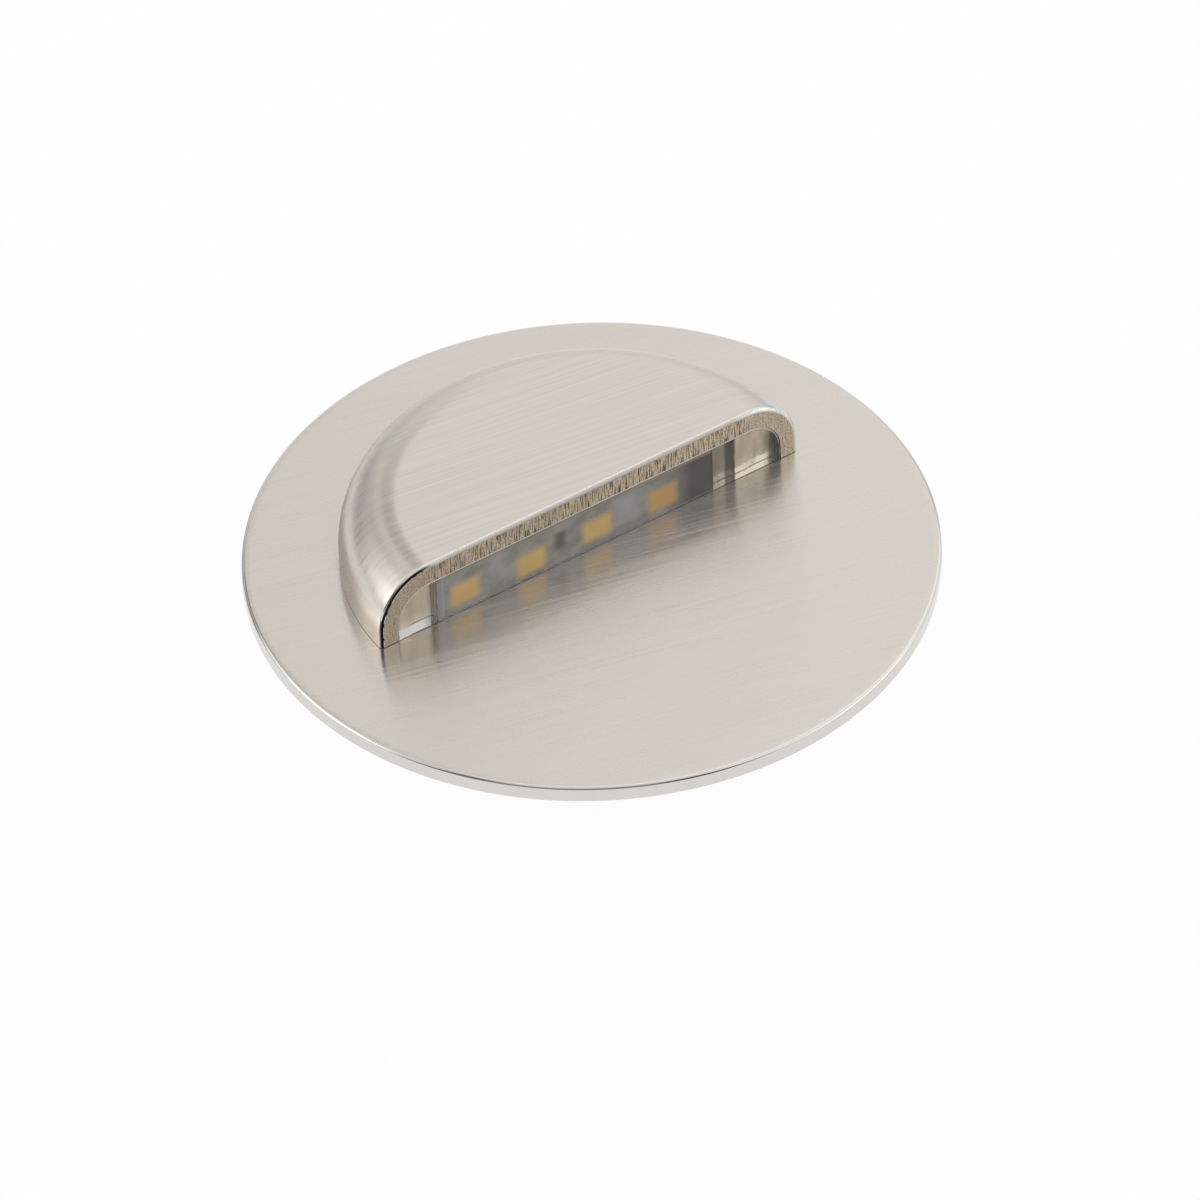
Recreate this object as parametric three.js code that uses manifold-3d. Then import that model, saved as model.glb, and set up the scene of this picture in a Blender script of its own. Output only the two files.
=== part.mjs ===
// Recessed deck light: a round steel face with a half-moon hood over a row of LEDs, a barrel that
// drops into a bored hole in the deck, a cable gland below it and two sprung clips at its sides.
// Millimetres, +Z up out of the deck. The origin is the middle of the face on the deck's surface,
// which is the underside of the gasket. The hood is open towards -Y.

import * as THREE from 'three';
import { mergeVertices } from 'three/addons/utils/BufferGeometryUtils.js';
import Module from 'manifold-3d';

const wasm = await Module();
wasm.setup();

// Clearances
const contactGap = 0.05;          // between faces that are clamped or glued together
const fitGap = 0.15;              // round a piece that slides into its place
const runningGap = 0.3;           // beside a piece that moves
const overrun = 1;                // how far a cutting tool passes the faces that it cuts

// Face plate and its gasket
const faceDiameter = 60;
const plateThickness = 1.5;
const plateEdgeRound = 0.3;
const gasketThickness = 0.8;
const gasketInset = 2;            // rim of the face to the rim of the gasket

// Hood: half of a flat puck with a rounded shoulder, hollow below, cut through its middle
const hoodRadius = 21.6;
const hoodHeight = 6.85;
const hoodShoulder = 5.2;
const hoodSideWall = 1.75;
const hoodTopWall = 2;
const hoodInnerShoulder = 3.4;
const hoodEdgeRound = 0.4;        // round along the outer edge of the cut face
const hoodEdgeSpread = 0.05;      // how far that round starts outside the puck
const bossRadius = 1.9;
const bossRoof = 0.9;             // metal left over the end of a screw hole

// Screws with a cross recess: three up into the hood, three up through the rear cap
const hoodScrewRadius = 1;
const hoodScrewLength = 8;
const screwHeadRadius = 1.9;
const screwHeadHeight = 1.3;
const recessLength = 2.2;
const recessWidth = 0.5;
const recessDepth = 0.6;
const hoodScrewCircle = 8.2;      // radius of the circle that the hood screws stand on
const frontScrewDegrees = 40;     // from the X axis round to the two front hood screws
const capScrewRadius = 0.8;
const capScrewLength = 6;
const capScrewHead = 1.45;
const capScrewCone = 0.8;
const capRecessLength = 1.6;
const capScrewShare = 0.85;       // place of the cap screws, as a share of the cap's radius

// Light engine, stacked behind the cut face: window skin, diffuser, LEDs, board, carrier
const windowSkin = 0.25;
const diffuserSkin = 0.15;
const diffuserWall = 0.25;
const diffuserTail = 1.6;         // solid end of the diffuser past the end of the board
const ledGap = 0.1;
const ledThickness = 0.65;
const ledLength = 3.5;
const ledWidth = 2.8;
const ledPitch = 6.8;
const ledCount = 4;
const ledRowOffset = -2.6;        // the row sits left of the middle
const phosphorLength = 2.95;
const phosphorWidth = 2.3;
const phosphorDepth = 0.25;
const boardLeftMargin = 0.35;     // first LED to the left end of the board
const boardRightMargin = 1.55;
const boardHeight = 3.4;
const boardThickness = 0.2;
const resistorLength = 2;
const resistorWidth = 1.25;
const resistorThickness = 0.45;
const resistorMargin = 0.35;      // top edge of the board to the resistor
const carrierThickness = 0.8;
const footWidth = 4.2;
const footMargin = 0.2;           // how far a foot runs back past its boss

// Leads and the grommet that takes them through the face
const leadDiameter = 0.6;
const leadSpacing = 2.4;          // at the board and at the driver
const leadPinch = 0.78;           // inside the grommet
const leadRise = 0.6;             // above the middle of the board
const grommetY = 4.1;
const grommetBore = 0.85;
const grommetNeck = 1.2;
const grommetLip = 1.5;
const grommetLipHeight = 0.4;

// Barrel
const barrelRadius = 14;
const barrelDepth = 10.4;         // below the deck's surface
const barrelRoof = 1.8;
const lowerBoreShare = 0.75;      // bore below the ledge, as a share of the barrel's radius
const ledgeWidth = 0.6;           // ledge that carries the driver board
const ledgeDepth = 4.6;           // below the deck's surface

// Driver board and the parts on its lower side, whose places are shares of the bore's radius
const driverThickness = 1;
const columnShare = 0.5;
const rearRowShare = 0.29;
const frontRowShare = 0.28;
const chipShare = 0.55;
const inductorRadius = 2.4;
const inductorHeight = 2.6;
const inductorWaist = 1.6;
const inductorFlange = 0.5;
const capacitorRadius = 1.9;
const capacitorHeight = 2.9;
const capacitorRound = 0.3;
const chipLength = 3;
const chipWidth = 3;
const chipHeight = 1.1;
const chipLegs = 4;               // along each side
const chipLegPitch = 0.65;
const chipLegWidth = 0.3;
const chipLegReach = 0.9;
const chipLegThickness = 0.2;
const rectifierLength = 3.6;
const rectifierWidth = 3;
const rectifierHeight = 1.6;
const terminalLength = 4.4;
const terminalWidth = 3.2;
const terminalHeight = 2.9;
const terminalHole = 0.75;        // radius of a wire entry
const terminalHoleDepth = 1.8;

// Rear cap with its seal
const capThickness = 2.2;
const capCollar = 0.8;            // wall of the collar that keeps the driver board on its ledge
const capSealThickness = 0.6;
const capEdgeBevel = 0.3;

// Cable gland for a round cable of 6 mm
const glandBore = 3.2;
const glandNeck = 4.6;
const glandHex = 12.5;            // across the flats
const glandFlange = 1.6;
const glandStub = 2.6;            // below the flange, inside the nut
const glandSealWall = 0.9;
const glandNutSkirt = 2.8;        // round the stub
const glandNutEnd = 1.2;
const glandNutBevel = 0.8;
const locknutHex = 12;
const locknutHeight = 1.5;

// Retaining clips, one on each side of the barrel
const clipPivotInset = 0.5;       // barrel's surface to the pivot, inwards
const clipPivotDepth = 8.7;       // below the deck's surface
const pinRadius = 0.6;
const pinOverhang = 0.3;
const pinGap = 0.05;
const hubGap = 0.1;               // between the pin and the arm that turns on it
const hubRadius = 1.3;
const earRadius = 1.5;
const earThickness = 1.3;
const earGap = 0.2;
const armWidth = 7;
const armThickness = 1.1;
const armReach = 4;               // pivot to tip, outwards
const armRise = 5.9;              // pivot to tip, upwards
const armLand = 1.2;              // flat top of the tip
const toothCount = 3;
const toothDepth = 0.4;
const heelDrop = 1.2;             // heel that stops the arm against the barrel
const pocketRise = 6.9;           // height of the barrel's side pocket above the pivot
const springWire = 0.4;
const springRadius = 1.1;
const springPitch = 0.85;
const springTurns = 3.5;
const springSlot = 3.6;           // width of the window that the spring has in the arm
const springWindow = 3.6;         // top of that window above the pivot
const springArmTop = 4.6;         // top of the leg that pushes the arm
const springBarrelTop = 3;        // top of the leg that bears on the barrel

// Numbers of sides and steps
const faceSides = 72;
const midSides = 40;
const smallSides = 24;
const pinSides = 12;
const shoulderSteps = 6;
const innerShoulderSteps = 4;
const roundSteps = 3;
const curlSteps = 8;
const curlSides = 5;
const leadSides = 8;
const leadSteps = 18;

// Heights that the pieces share
const deckTop = 0;
const plateBottom = gasketThickness + contactGap;
const plateTop = plateBottom + plateThickness;
const hoodBase = plateTop + contactGap;
const hoodTop = hoodBase + hoodHeight;
const hoodCeiling = hoodTop - hoodTopWall;
const barrelTop = plateBottom - contactGap;
const barrelCeiling = barrelTop - barrelRoof;
const barrelBottom = -barrelDepth;
const driverTop = -ledgeDepth - contactGap;
const driverBottom = driverTop - driverThickness;
const sealTop = barrelBottom - contactGap;
const capTop = sealTop - capSealThickness - contactGap;
const capBottom = capTop - capThickness;
const glandFlangeTop = capBottom - contactGap;
const glandFlangeBottom = glandFlangeTop - glandFlange;
const glandNutTop = glandFlangeBottom - fitGap;
const glandStubBottom = glandFlangeBottom - glandStub;
const glandSkirtBottom = glandNutTop - glandNutSkirt;
const glandNutBottom = glandSkirtBottom - glandNutEnd;
const clipPivotZ = -clipPivotDepth;

// Radii that follow the barrel
const lowerBore = barrelRadius * lowerBoreShare;
const upperBore = lowerBore - ledgeWidth;
const capScrewCircle = barrelRadius * capScrewShare;
const clipPivotX = barrelRadius - clipPivotInset;

// Depths behind the cut face that the light engine shares
const diffuserFront = windowSkin + contactGap;
const diffuserFloor = diffuserFront + diffuserSkin;
const ledFront = diffuserFloor + ledGap;
const boardFront = ledFront + ledThickness + contactGap;
const boardBack = boardFront + boardThickness;
const carrierFront = boardBack + contactGap;
const carrierBack = carrierFront + carrierThickness;
const windowBack = carrierFront - contactGap;

// Places of the light engine along and above the plate
const hoodInnerRadius = hoodRadius - hoodSideWall;
const ledRowHalf = (ledPitch * (ledCount - 1) + ledLength) / 2;
const boardLeft = ledRowOffset - ledRowHalf - boardLeftMargin;
const boardRight = ledRowOffset + ledRowHalf + boardRightMargin;
const diffuserBase = plateTop + contactGap;
const boardBase = diffuserBase + diffuserWall + contactGap;
const boardTop = boardBase + boardHeight;
const boardMiddle = (boardBase + boardTop) / 2;
const diffuserLeft = boardLeft - contactGap - diffuserWall;
const diffuserRight = boardRight + contactGap + diffuserWall + diffuserTail;
const diffuserTop = boardTop + contactGap + diffuserWall;

// A closed triangle geometry becomes a solid that can be joined and cut.
function solid(geometry) {
  const bare = geometry.index ? geometry.toNonIndexed() : geometry.clone();
  bare.deleteAttribute('normal');
  bare.deleteAttribute('uv');
  const merged = mergeVertices(bare);
  const shape = new wasm.Mesh({
    numProp: 3,
    vertProperties: new Float32Array(merged.attributes.position.array),
    triVerts: new Uint32Array(merged.index.array),
  });
  return new wasm.Manifold(shape);
}

function box(x0, x1, y0, y1, z0, z1) {
  const geometry = new THREE.BoxGeometry(x1 - x0, y1 - y0, z1 - z0);
  geometry.translate((x0 + x1) / 2, (y0 + y1) / 2, (z0 + z1) / 2);
  return solid(geometry);
}

// A profile of [radius, height] pairs turned round the Z axis.
function turned(profile, sides) {
  const geometry = new THREE.LatheGeometry(profile.map(([r, z]) => new THREE.Vector2(r, z)), sides);
  return solid(geometry.rotateX(Math.PI / 2));
}

function rod(radius, z0, z1, sides = smallSides) {
  return turned([[0, z0], [radius, z0], [radius, z1], [0, z1]], sides);
}

function ring(inner, outer, z0, z1, sides = smallSides) {
  return turned([[inner, z0], [outer, z0], [outer, z1], [inner, z1], [inner, z0]], sides);
}

// The radius through the corners of a hexagon.
function cornerRadius(acrossFlats) {
  return acrossFlats / 2 / Math.cos(Math.PI / 6);
}

function hexagon(acrossFlats, z0, z1) {
  return rod(cornerRadius(acrossFlats), z0, z1, 6);
}

// A rod that lies along Y.
function crossRod(radius, x, z, y0, y1, sides) {
  const geometry = new THREE.CylinderGeometry(radius, radius, y1 - y0, sides);
  return solid(geometry.translate(x, (y0 + y1) / 2, z));
}

// An outline in X and Z, run along Y from y0 to y1.
function slab(outline, y0, y1, options = {}) {
  const settings = { depth: y1 - y0, bevelEnabled: false, ...options };
  const geometry = new THREE.ExtrudeGeometry(outline, settings);
  return solid(geometry.rotateX(Math.PI / 2).translate(0, y1, 0));
}

function outlineOf(points) {
  return new THREE.Shape(points.map(([x, z]) => new THREE.Vector2(x, z)));
}

// The corner points of a quarter circle, from the side to the top.
function quarter(centreRadius, centreHeight, radius, steps) {
  return Array.from({ length: steps + 1 }, (_, step) => {
    const turn = (step / steps) * Math.PI / 2;
    return [centreRadius + radius * Math.cos(turn), centreHeight + radius * Math.sin(turn)];
  });
}

// A flat puck with a rounded shoulder, standing on the height base.
function puck(radius, base, top, shoulder, steps) {
  const arc = quarter(radius - shoulder, top - shoulder, shoulder, steps);
  return turned([[0, base], [radius, base], ...arc, [0, top]], faceSides);
}

// A tube of wire along a list of points.
function wire(points, radius, sides, steps) {
  const path = new THREE.CatmullRomCurve3(points, false, 'centripetal');
  const section = new THREE.Shape(Array.from({ length: sides }, (_, side) => {
    const turn = (side / sides) * 2 * Math.PI;
    return new THREE.Vector2(radius * Math.cos(turn), radius * Math.sin(turn));
  }));
  const geometry = new THREE.ExtrudeGeometry(section, { steps, extrudePath: path });
  return solid(geometry);
}

function finish(color, roughness, metalness) {
  return new THREE.MeshStandardMaterial({ color, roughness, metalness });
}

function addPiece(parent, name, shape, material) {
  const { numProp, vertProperties, triVerts } = shape.getMesh();
  const geometry = new THREE.BufferGeometry();
  const positions = new Float32Array((vertProperties.length / numProp) * 3);
  for (let i = 0; i < positions.length / 3; i += 1) {
    positions.set(vertProperties.subarray(i * numProp, i * numProp + 3), i * 3);
  }
  geometry.setAttribute('position', new THREE.BufferAttribute(positions, 3));
  geometry.setIndex(new THREE.BufferAttribute(new Uint32Array(triVerts), 1));
  geometry.computeVertexNormals();
  const piece = new THREE.Mesh(geometry, material);
  piece.name = name;
  parent.add(piece);
  return piece;
}

const brushedSteel = () => finish(0xc9c3bb, 0.35, 1);
const polishedSteel = () => finish(0xd6d2cc, 0.15, 1);
const clearResin = () => finish(0xdfe3e4, 0.05, 0);
const frostedResin = () => finish(0x8a8884, 0.5, 0);
const whiteCeramic = () => finish(0xe8e4da, 0.5, 0);
const phosphor = () => finish(0xd9a13f, 0.5, 0);
const boardWhite = () => finish(0xb9b8b2, 0.55, 0);
const darkCeramic = () => finish(0x55524e, 0.5, 0);
const blackRubber = () => finish(0x1d1d1e, 0.85, 0);
const blackNylon = () => finish(0x2a2b2d, 0.55, 0);
const castAluminium = () => finish(0x9a9b9c, 0.45, 1);
const greenBoard = () => finish(0x1f5a3a, 0.5, 0);
const blackEpoxy = () => finish(0x202123, 0.5, 0);
const ferrite = () => finish(0x3a3a3c, 0.7, 0);
const terminalGreen = () => finish(0x2f7f4d, 0.5, 0);
const redSheath = () => finish(0xb3261e, 0.5, 0);
const blackSheath = () => finish(0x18181a, 0.5, 0);
const springSteel = () => finish(0xb8b9bb, 0.3, 1);

// The three screws that hold the hood, and the three that hold the rear cap.
const frontScrewTurn = frontScrewDegrees * Math.PI / 180;
const frontScrewX = hoodScrewCircle * Math.cos(frontScrewTurn);
const frontScrewY = hoodScrewCircle * Math.sin(frontScrewTurn);
const hoodScrewPlaces = [[-frontScrewX, frontScrewY], [frontScrewX, frontScrewY], [0, hoodScrewCircle]];
const capScrewPlaces = [0, 1, 2].map((count) => {
  const turn = Math.PI / 2 + (count / 3) * 2 * Math.PI;
  return [capScrewCircle * Math.cos(turn), capScrewCircle * Math.sin(turn)];
});

function cutHoles(shape, places, radius, z0, z1) {
  const drill = rod(radius, z0, z1, pinSides);
  return places.reduce((rest, [x, y]) => rest.subtract(drill.translate([x, y, 0])), shape);
}

// Face

function makeFacePlate() {
  const radius = faceDiameter / 2;
  const arc = quarter(radius - plateEdgeRound, plateTop - plateEdgeRound, plateEdgeRound, roundSteps);
  const disc = turned([[0, plateBottom], [radius, plateBottom], ...arc, [0, plateTop]], faceSides);
  const z0 = plateBottom - overrun;
  const z1 = plateTop + overrun;
  const drilled = cutHoles(disc, hoodScrewPlaces, hoodScrewRadius + fitGap, z0, z1);
  return cutHoles(drilled, [[0, grommetY]], grommetNeck + contactGap, z0, z1);
}

function makeGasket() {
  const outer = faceDiameter / 2 - gasketInset;
  return ring(barrelRadius + runningGap, outer, deckTop, gasketThickness, faceSides);
}

// The outline of the cut face, run back as a prism whose front edge is rounded. It is a little
// larger than the puck behind the round, so that the puck's own surface stays.
function roundedMouth() {
  const half = hoodRadius + hoodEdgeSpread;
  const top = hoodTop + hoodEdgeSpread;
  const low = hoodBase - overrun - hoodEdgeRound;
  const shoulder = hoodShoulder + hoodEdgeSpread;
  const right = quarter(half - shoulder, top - shoulder, shoulder, shoulderSteps);
  const left = right.map(([x, z]) => [-x, z]).reverse();
  const round = hoodEdgeRound + hoodEdgeSpread;
  const mouth = outlineOf([[half, low], ...right, ...left, [-half, low]]);
  const bevel = {
    bevelEnabled: true,
    bevelThickness: round,
    bevelSize: round,
    bevelOffset: -round,
    bevelSegments: roundSteps,
  };
  return slab(mouth, round, hoodRadius + overrun, bevel);
}

function makeHood() {
  const low = hoodBase - overrun;
  const outer = puck(hoodRadius, hoodBase, hoodTop, hoodShoulder, shoulderSteps);
  const inner = puck(hoodInnerRadius, low, hoodCeiling, hoodInnerShoulder, innerShoulderSteps);
  const feet = hoodBase + contactGap + carrierThickness;
  const bosses = hoodScrewPlaces.map(([x, y], index) => {
    const foot = index < 2 ? feet : hoodBase;
    return rod(bossRadius, foot, hoodCeiling + overrun).translate([x, y, 0]);
  });
  const shell = outer.intersect(roundedMouth()).subtract(inner);
  const bossed = bosses.reduce((rest, boss) => rest.add(boss), shell);
  return cutHoles(bossed, hoodScrewPlaces, hoodScrewRadius + fitGap, low, hoodTop - bossRoof);
}

// The cross recess in the low end of a screw, up to the height floor.
function crossRecess(length, floor) {
  const reach = length / 2;
  const half = recessWidth / 2;
  const low = floor - recessDepth - overrun;
  return box(-reach, reach, -half, half, low, floor).add(box(-half, half, -reach, reach, low, floor));
}

function makeHoodScrew() {
  const seat = barrelCeiling - contactGap;
  const bottom = seat - screwHeadHeight;
  const bevel = recessWidth / 2;
  const profile = [
    [0, bottom],
    [screwHeadRadius - bevel, bottom],
    [screwHeadRadius, bottom + bevel],
    [screwHeadRadius, seat],
    [hoodScrewRadius, seat],
    [hoodScrewRadius, seat + hoodScrewLength - bevel],
    [hoodScrewRadius - bevel, seat + hoodScrewLength],
    [0, seat + hoodScrewLength],
  ];
  return turned(profile, pinSides).subtract(crossRecess(recessLength, bottom + recessDepth));
}

// Light engine

function makeWindow() {
  const radius = hoodInnerRadius - fitGap;
  const top = hoodCeiling - fitGap;
  const whole = puck(radius, diffuserBase, top, hoodInnerShoulder - fitGap, innerShoulderSteps);
  const slice = box(-hoodRadius, hoodRadius, 0, windowBack, plateBottom, hoodTop);
  const pocket = box(
    diffuserLeft - contactGap,
    diffuserRight + contactGap,
    windowSkin,
    windowBack + overrun,
    plateBottom,
    diffuserTop + contactGap,
  );
  return whole.intersect(slice).subtract(pocket);
}

function makeDiffuser() {
  const shell = box(diffuserLeft, diffuserRight, diffuserFront, windowBack, diffuserBase, diffuserTop);
  const pocket = box(
    boardLeft - contactGap,
    boardRight + contactGap,
    diffuserFloor,
    windowBack + overrun,
    boardBase - contactGap,
    boardTop + contactGap,
  );
  return shell.subtract(pocket);
}

function ledPlace(index) {
  return ledRowOffset + (index - (ledCount - 1) / 2) * ledPitch;
}

function makeLed() {
  const half = ledLength / 2;
  const body = box(-half, half, ledFront, ledFront + ledThickness, -ledWidth / 2, ledWidth / 2);
  const wide = phosphorLength / 2 + contactGap;
  const high = phosphorWidth / 2 + contactGap;
  return body.subtract(box(-wide, wide, ledFront - overrun, ledFront + phosphorDepth, -high, high));
}

function makePhosphor() {
  const half = phosphorLength / 2;
  const high = phosphorWidth / 2;
  return box(-half, half, ledFront, ledFront + phosphorDepth - contactGap, -high, high);
}

function makeBoard() {
  return box(boardLeft, boardRight, boardFront, boardBack, boardBase, boardTop);
}

function makeResistor() {
  const top = boardTop - resistorMargin;
  const back = boardFront - contactGap;
  const left = ledRowOffset - resistorWidth / 2;
  const low = top - resistorLength;
  return box(left, left + resistorWidth, back - resistorThickness, back, low, top);
}

function makeCarrier() {
  const radius = hoodInnerRadius - fitGap;
  const top = hoodCeiling - fitGap;
  const whole = puck(radius, diffuserBase, top, hoodInnerShoulder - fitGap, innerShoulderSteps);
  const slice = box(-hoodRadius, hoodRadius, carrierFront, carrierBack, plateBottom, hoodTop);
  const wall = whole.intersect(slice);
  const feet = [-1, 1].map((side) => {
    const x = side * frontScrewX;
    const y1 = frontScrewY + bossRadius + footMargin;
    const foot = box(
      x - footWidth / 2,
      x + footWidth / 2,
      carrierFront,
      y1,
      diffuserBase,
      diffuserBase + carrierThickness,
    );
    return foot;
  });
  const bent = feet.reduce((rest, foot) => rest.add(foot), wall);
  const screwHoles = hoodScrewPlaces.slice(0, 2);
  const drilled = cutHoles(bent, screwHoles, hoodScrewRadius + fitGap, plateBottom, hoodCeiling - fitGap);
  return [-1, 1].reduce((rest, side) => {
    const x = side * leadSpacing / 2;
    const z = boardMiddle + leadRise;
    const radius = leadDiameter / 2 + fitGap;
    return rest.subtract(crossRod(radius, x, z, 0, carrierBack + overrun, pinSides));
  }, drilled);
}

// A lead runs back through the carrier, turns down through the grommet and ends over the driver.
function makeLead(side) {
  const out = side * leadSpacing / 2;
  const close = side * leadPinch / 2;
  const high = boardMiddle + leadRise;
  const bend = (grommetY - carrierBack) / 2;
  const points = [
    [out, carrierFront, high],
    [out, carrierBack, high],
    [out, carrierBack + bend / 2, high],
    [(out + close) / 2, carrierBack + bend * 1.5, high - bend / 2],
    [close, grommetY, high - bend * 1.5],
    [close, grommetY, plateTop],
    [close, grommetY, barrelCeiling - grommetLipHeight],
    [(out + close) / 2, grommetY - bend / 2, (barrelCeiling + driverTop) / 2],
    [out, grommetY - bend, driverTop + leadDiameter],
    [out, grommetY - bend, driverTop + contactGap],
  ];
  return wire(points.map((point) => new THREE.Vector3(...point)), leadDiameter / 2, leadSides, leadSteps);
}

function makeGrommet() {
  const top = plateTop + contactGap;
  const bottom = barrelCeiling - contactGap;
  const profile = [
    [grommetBore, bottom - grommetLipHeight],
    [grommetLip, bottom - grommetLipHeight],
    [grommetLip, bottom],
    [grommetNeck, bottom],
    [grommetNeck, top],
    [grommetLip, top],
    [grommetLip, top + grommetLipHeight],
    [grommetBore, top + grommetLipHeight],
    [grommetBore, bottom - grommetLipHeight],
  ];
  return turned(profile, pinSides);
}

// Barrel and what closes it

// The floor of the pocket that leaves room for a clip to fold in.
const pocketFloor = clipPivotX - hubRadius - runningGap;
const pocketTop = clipPivotZ + pocketRise;

function makeBarrel() {
  const profile = [
    [0, barrelCeiling],
    [upperBore, barrelCeiling],
    [upperBore, -ledgeDepth],
    [lowerBore, -ledgeDepth],
    [lowerBore, barrelBottom],
    [barrelRadius, barrelBottom],
    [barrelRadius, barrelTop],
    [0, barrelTop],
  ];
  const body = turned(profile, midSides);
  const inner = armWidth / 2 + earGap;
  const withPockets = [-1, 1].reduce((rest, side) => {
    const xs = [side * pocketFloor, side * (barrelRadius + overrun)].sort((a, b) => a - b);
    return rest.subtract(box(...xs, -inner, inner, barrelBottom - overrun, pocketTop));
  }, body);
  const withEars = [-1, 1].reduce((rest, side) => {
    const x = side * clipPivotX;
    const root = side * (lowerBore + barrelRadius) / 2;
    const xs = [root, x].sort((a, b) => a - b);
    return [-1, 1].reduce((shape, end) => {
      const ys = [end * inner, end * (inner + earThickness)].sort((a, b) => a - b);
      const plate = box(...xs, ...ys, clipPivotZ - earRadius, clipPivotZ + earRadius);
      const nose = crossRod(earRadius, x, clipPivotZ, ...ys, smallSides);
      return shape.add(plate.add(nose));
    }, rest);
  }, withPockets);
  const pinReach = inner + earThickness + pinOverhang + overrun;
  const withPinHoles = [-1, 1].reduce((rest, side) => {
    const hole = crossRod(pinRadius + pinGap, side * clipPivotX, clipPivotZ, -pinReach, pinReach, pinSides);
    return rest.subtract(hole);
  }, withEars);
  const roofLow = barrelCeiling - overrun;
  const roofHigh = barrelTop + overrun;
  const screwed = cutHoles(withPinHoles, hoodScrewPlaces, hoodScrewRadius + fitGap, roofLow, roofHigh);
  const headRoom = barrelCeiling - screwHeadHeight - runningGap;
  const relieved = cutHoles(screwed, hoodScrewPlaces, screwHeadRadius + fitGap, headRoom, barrelCeiling);
  const wired = cutHoles(relieved, [[0, grommetY]], grommetNeck + contactGap, roofLow, roofHigh);
  const low = barrelBottom - overrun;
  const high = capBottom + capScrewLength + runningGap;
  return cutHoles(wired, capScrewPlaces, capScrewRadius + fitGap, low, high);
}

function makeDriverBoard() {
  return rod(lowerBore - fitGap, driverBottom, driverTop, midSides);
}

// What stands on the driver board hangs below it, because the board faces down.
const mountFace = driverBottom - contactGap;
const partColumn = lowerBore * columnShare;
const rearRow = lowerBore * rearRowShare;
const frontRow = -lowerBore * frontRowShare;
const chipY = lowerBore * chipShare;

function makeInductor() {
  const bottom = mountFace - inductorHeight;
  const profile = [
    [0, bottom],
    [inductorRadius, bottom],
    [inductorRadius, bottom + inductorFlange],
    [inductorWaist, bottom + inductorFlange],
    [inductorWaist, mountFace - inductorFlange],
    [inductorRadius, mountFace - inductorFlange],
    [inductorRadius, mountFace],
    [0, mountFace],
  ];
  return turned(profile, smallSides).translate([-partColumn, rearRow, 0]);
}

function makeCapacitor() {
  const bottom = mountFace - capacitorHeight;
  const profile = [
    [0, bottom],
    [capacitorRadius - capacitorRound, bottom],
    [capacitorRadius, bottom + capacitorRound],
    [capacitorRadius, mountFace],
    [0, mountFace],
  ];
  return turned(profile, smallSides).translate([partColumn, rearRow, 0]);
}

function makeChip() {
  const half = chipLength / 2;
  const wide = chipWidth / 2;
  const body = box(-half, half, chipY - wide, chipY + wide, mountFace - chipHeight, mountFace);
  const legs = Array.from({ length: chipLegs }, (_, leg) => {
    const x = (leg - (chipLegs - 1) / 2) * chipLegPitch;
    return box(
      x - chipLegWidth / 2,
      x + chipLegWidth / 2,
      chipY - wide - chipLegReach,
      chipY + wide + chipLegReach,
      mountFace - chipLegThickness,
      mountFace,
    );
  });
  return legs.reduce((rest, leg) => rest.add(leg), body);
}

function blockAt(x, y, length, width, height) {
  return box(x - length / 2, x + length / 2, y - width / 2, y + width / 2, mountFace - height, mountFace);
}

function makeTerminal() {
  const block = blockAt(partColumn, frontRow, terminalLength, terminalWidth, terminalHeight);
  return [-1, 1].reduce((rest, side) => {
    const x = partColumn + side * terminalLength / 4;
    const face = frontRow - terminalWidth / 2;
    const z = mountFace - terminalHeight / 2;
    const entry = crossRod(terminalHole, x, z, face - overrun, face + terminalHoleDepth, pinSides);
    return rest.subtract(entry);
  }, block);
}

function makeCapSeal() {
  const low = sealTop - capSealThickness;
  const flat = ring(lowerBore + fitGap, barrelRadius, low, sealTop, midSides);
  return cutHoles(flat, capScrewPlaces, capScrewRadius + fitGap, low - overrun, sealTop + overrun);
}

function makeCap() {
  const collarOuter = lowerBore - fitGap;
  const collarInner = collarOuter - capCollar;
  const profile = [
    [glandNeck + fitGap, capBottom],
    [barrelRadius - capEdgeBevel, capBottom],
    [barrelRadius, capBottom + capEdgeBevel],
    [barrelRadius, capTop],
    [collarOuter, capTop],
    [collarOuter, driverBottom - contactGap],
    [collarInner, driverBottom - contactGap],
    [collarInner, capTop],
    [glandNeck + fitGap, capTop],
    [glandNeck + fitGap, capBottom],
  ];
  const cap = turned(profile, midSides);
  const coneTop = capBottom + capScrewCone + contactGap;
  const sink = turned([
    [0, capBottom - overrun],
    [capScrewHead + fitGap, capBottom - overrun],
    [capScrewHead + fitGap, capBottom],
    [capScrewRadius + fitGap, coneTop],
    [capScrewRadius + fitGap, capTop + overrun],
    [0, capTop + overrun],
  ], smallSides);
  return capScrewPlaces.reduce((rest, [x, y]) => rest.subtract(sink.translate([x, y, 0])), cap);
}

function makeCapScrew() {
  const low = capBottom + contactGap;
  const bevel = recessWidth / 2;
  const profile = [
    [0, low],
    [capScrewHead, low],
    [capScrewRadius, low + capScrewCone],
    [capScrewRadius, low + capScrewLength - bevel],
    [capScrewRadius - bevel, low + capScrewLength],
    [0, low + capScrewLength],
  ];
  return turned(profile, pinSides).subtract(crossRecess(capRecessLength, low + recessDepth));
}

// Cable gland

const locknutBottom = capTop + contactGap;
const sealSeat = glandFlangeBottom;
const glandSealOuter = glandBore + glandSealWall;

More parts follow.
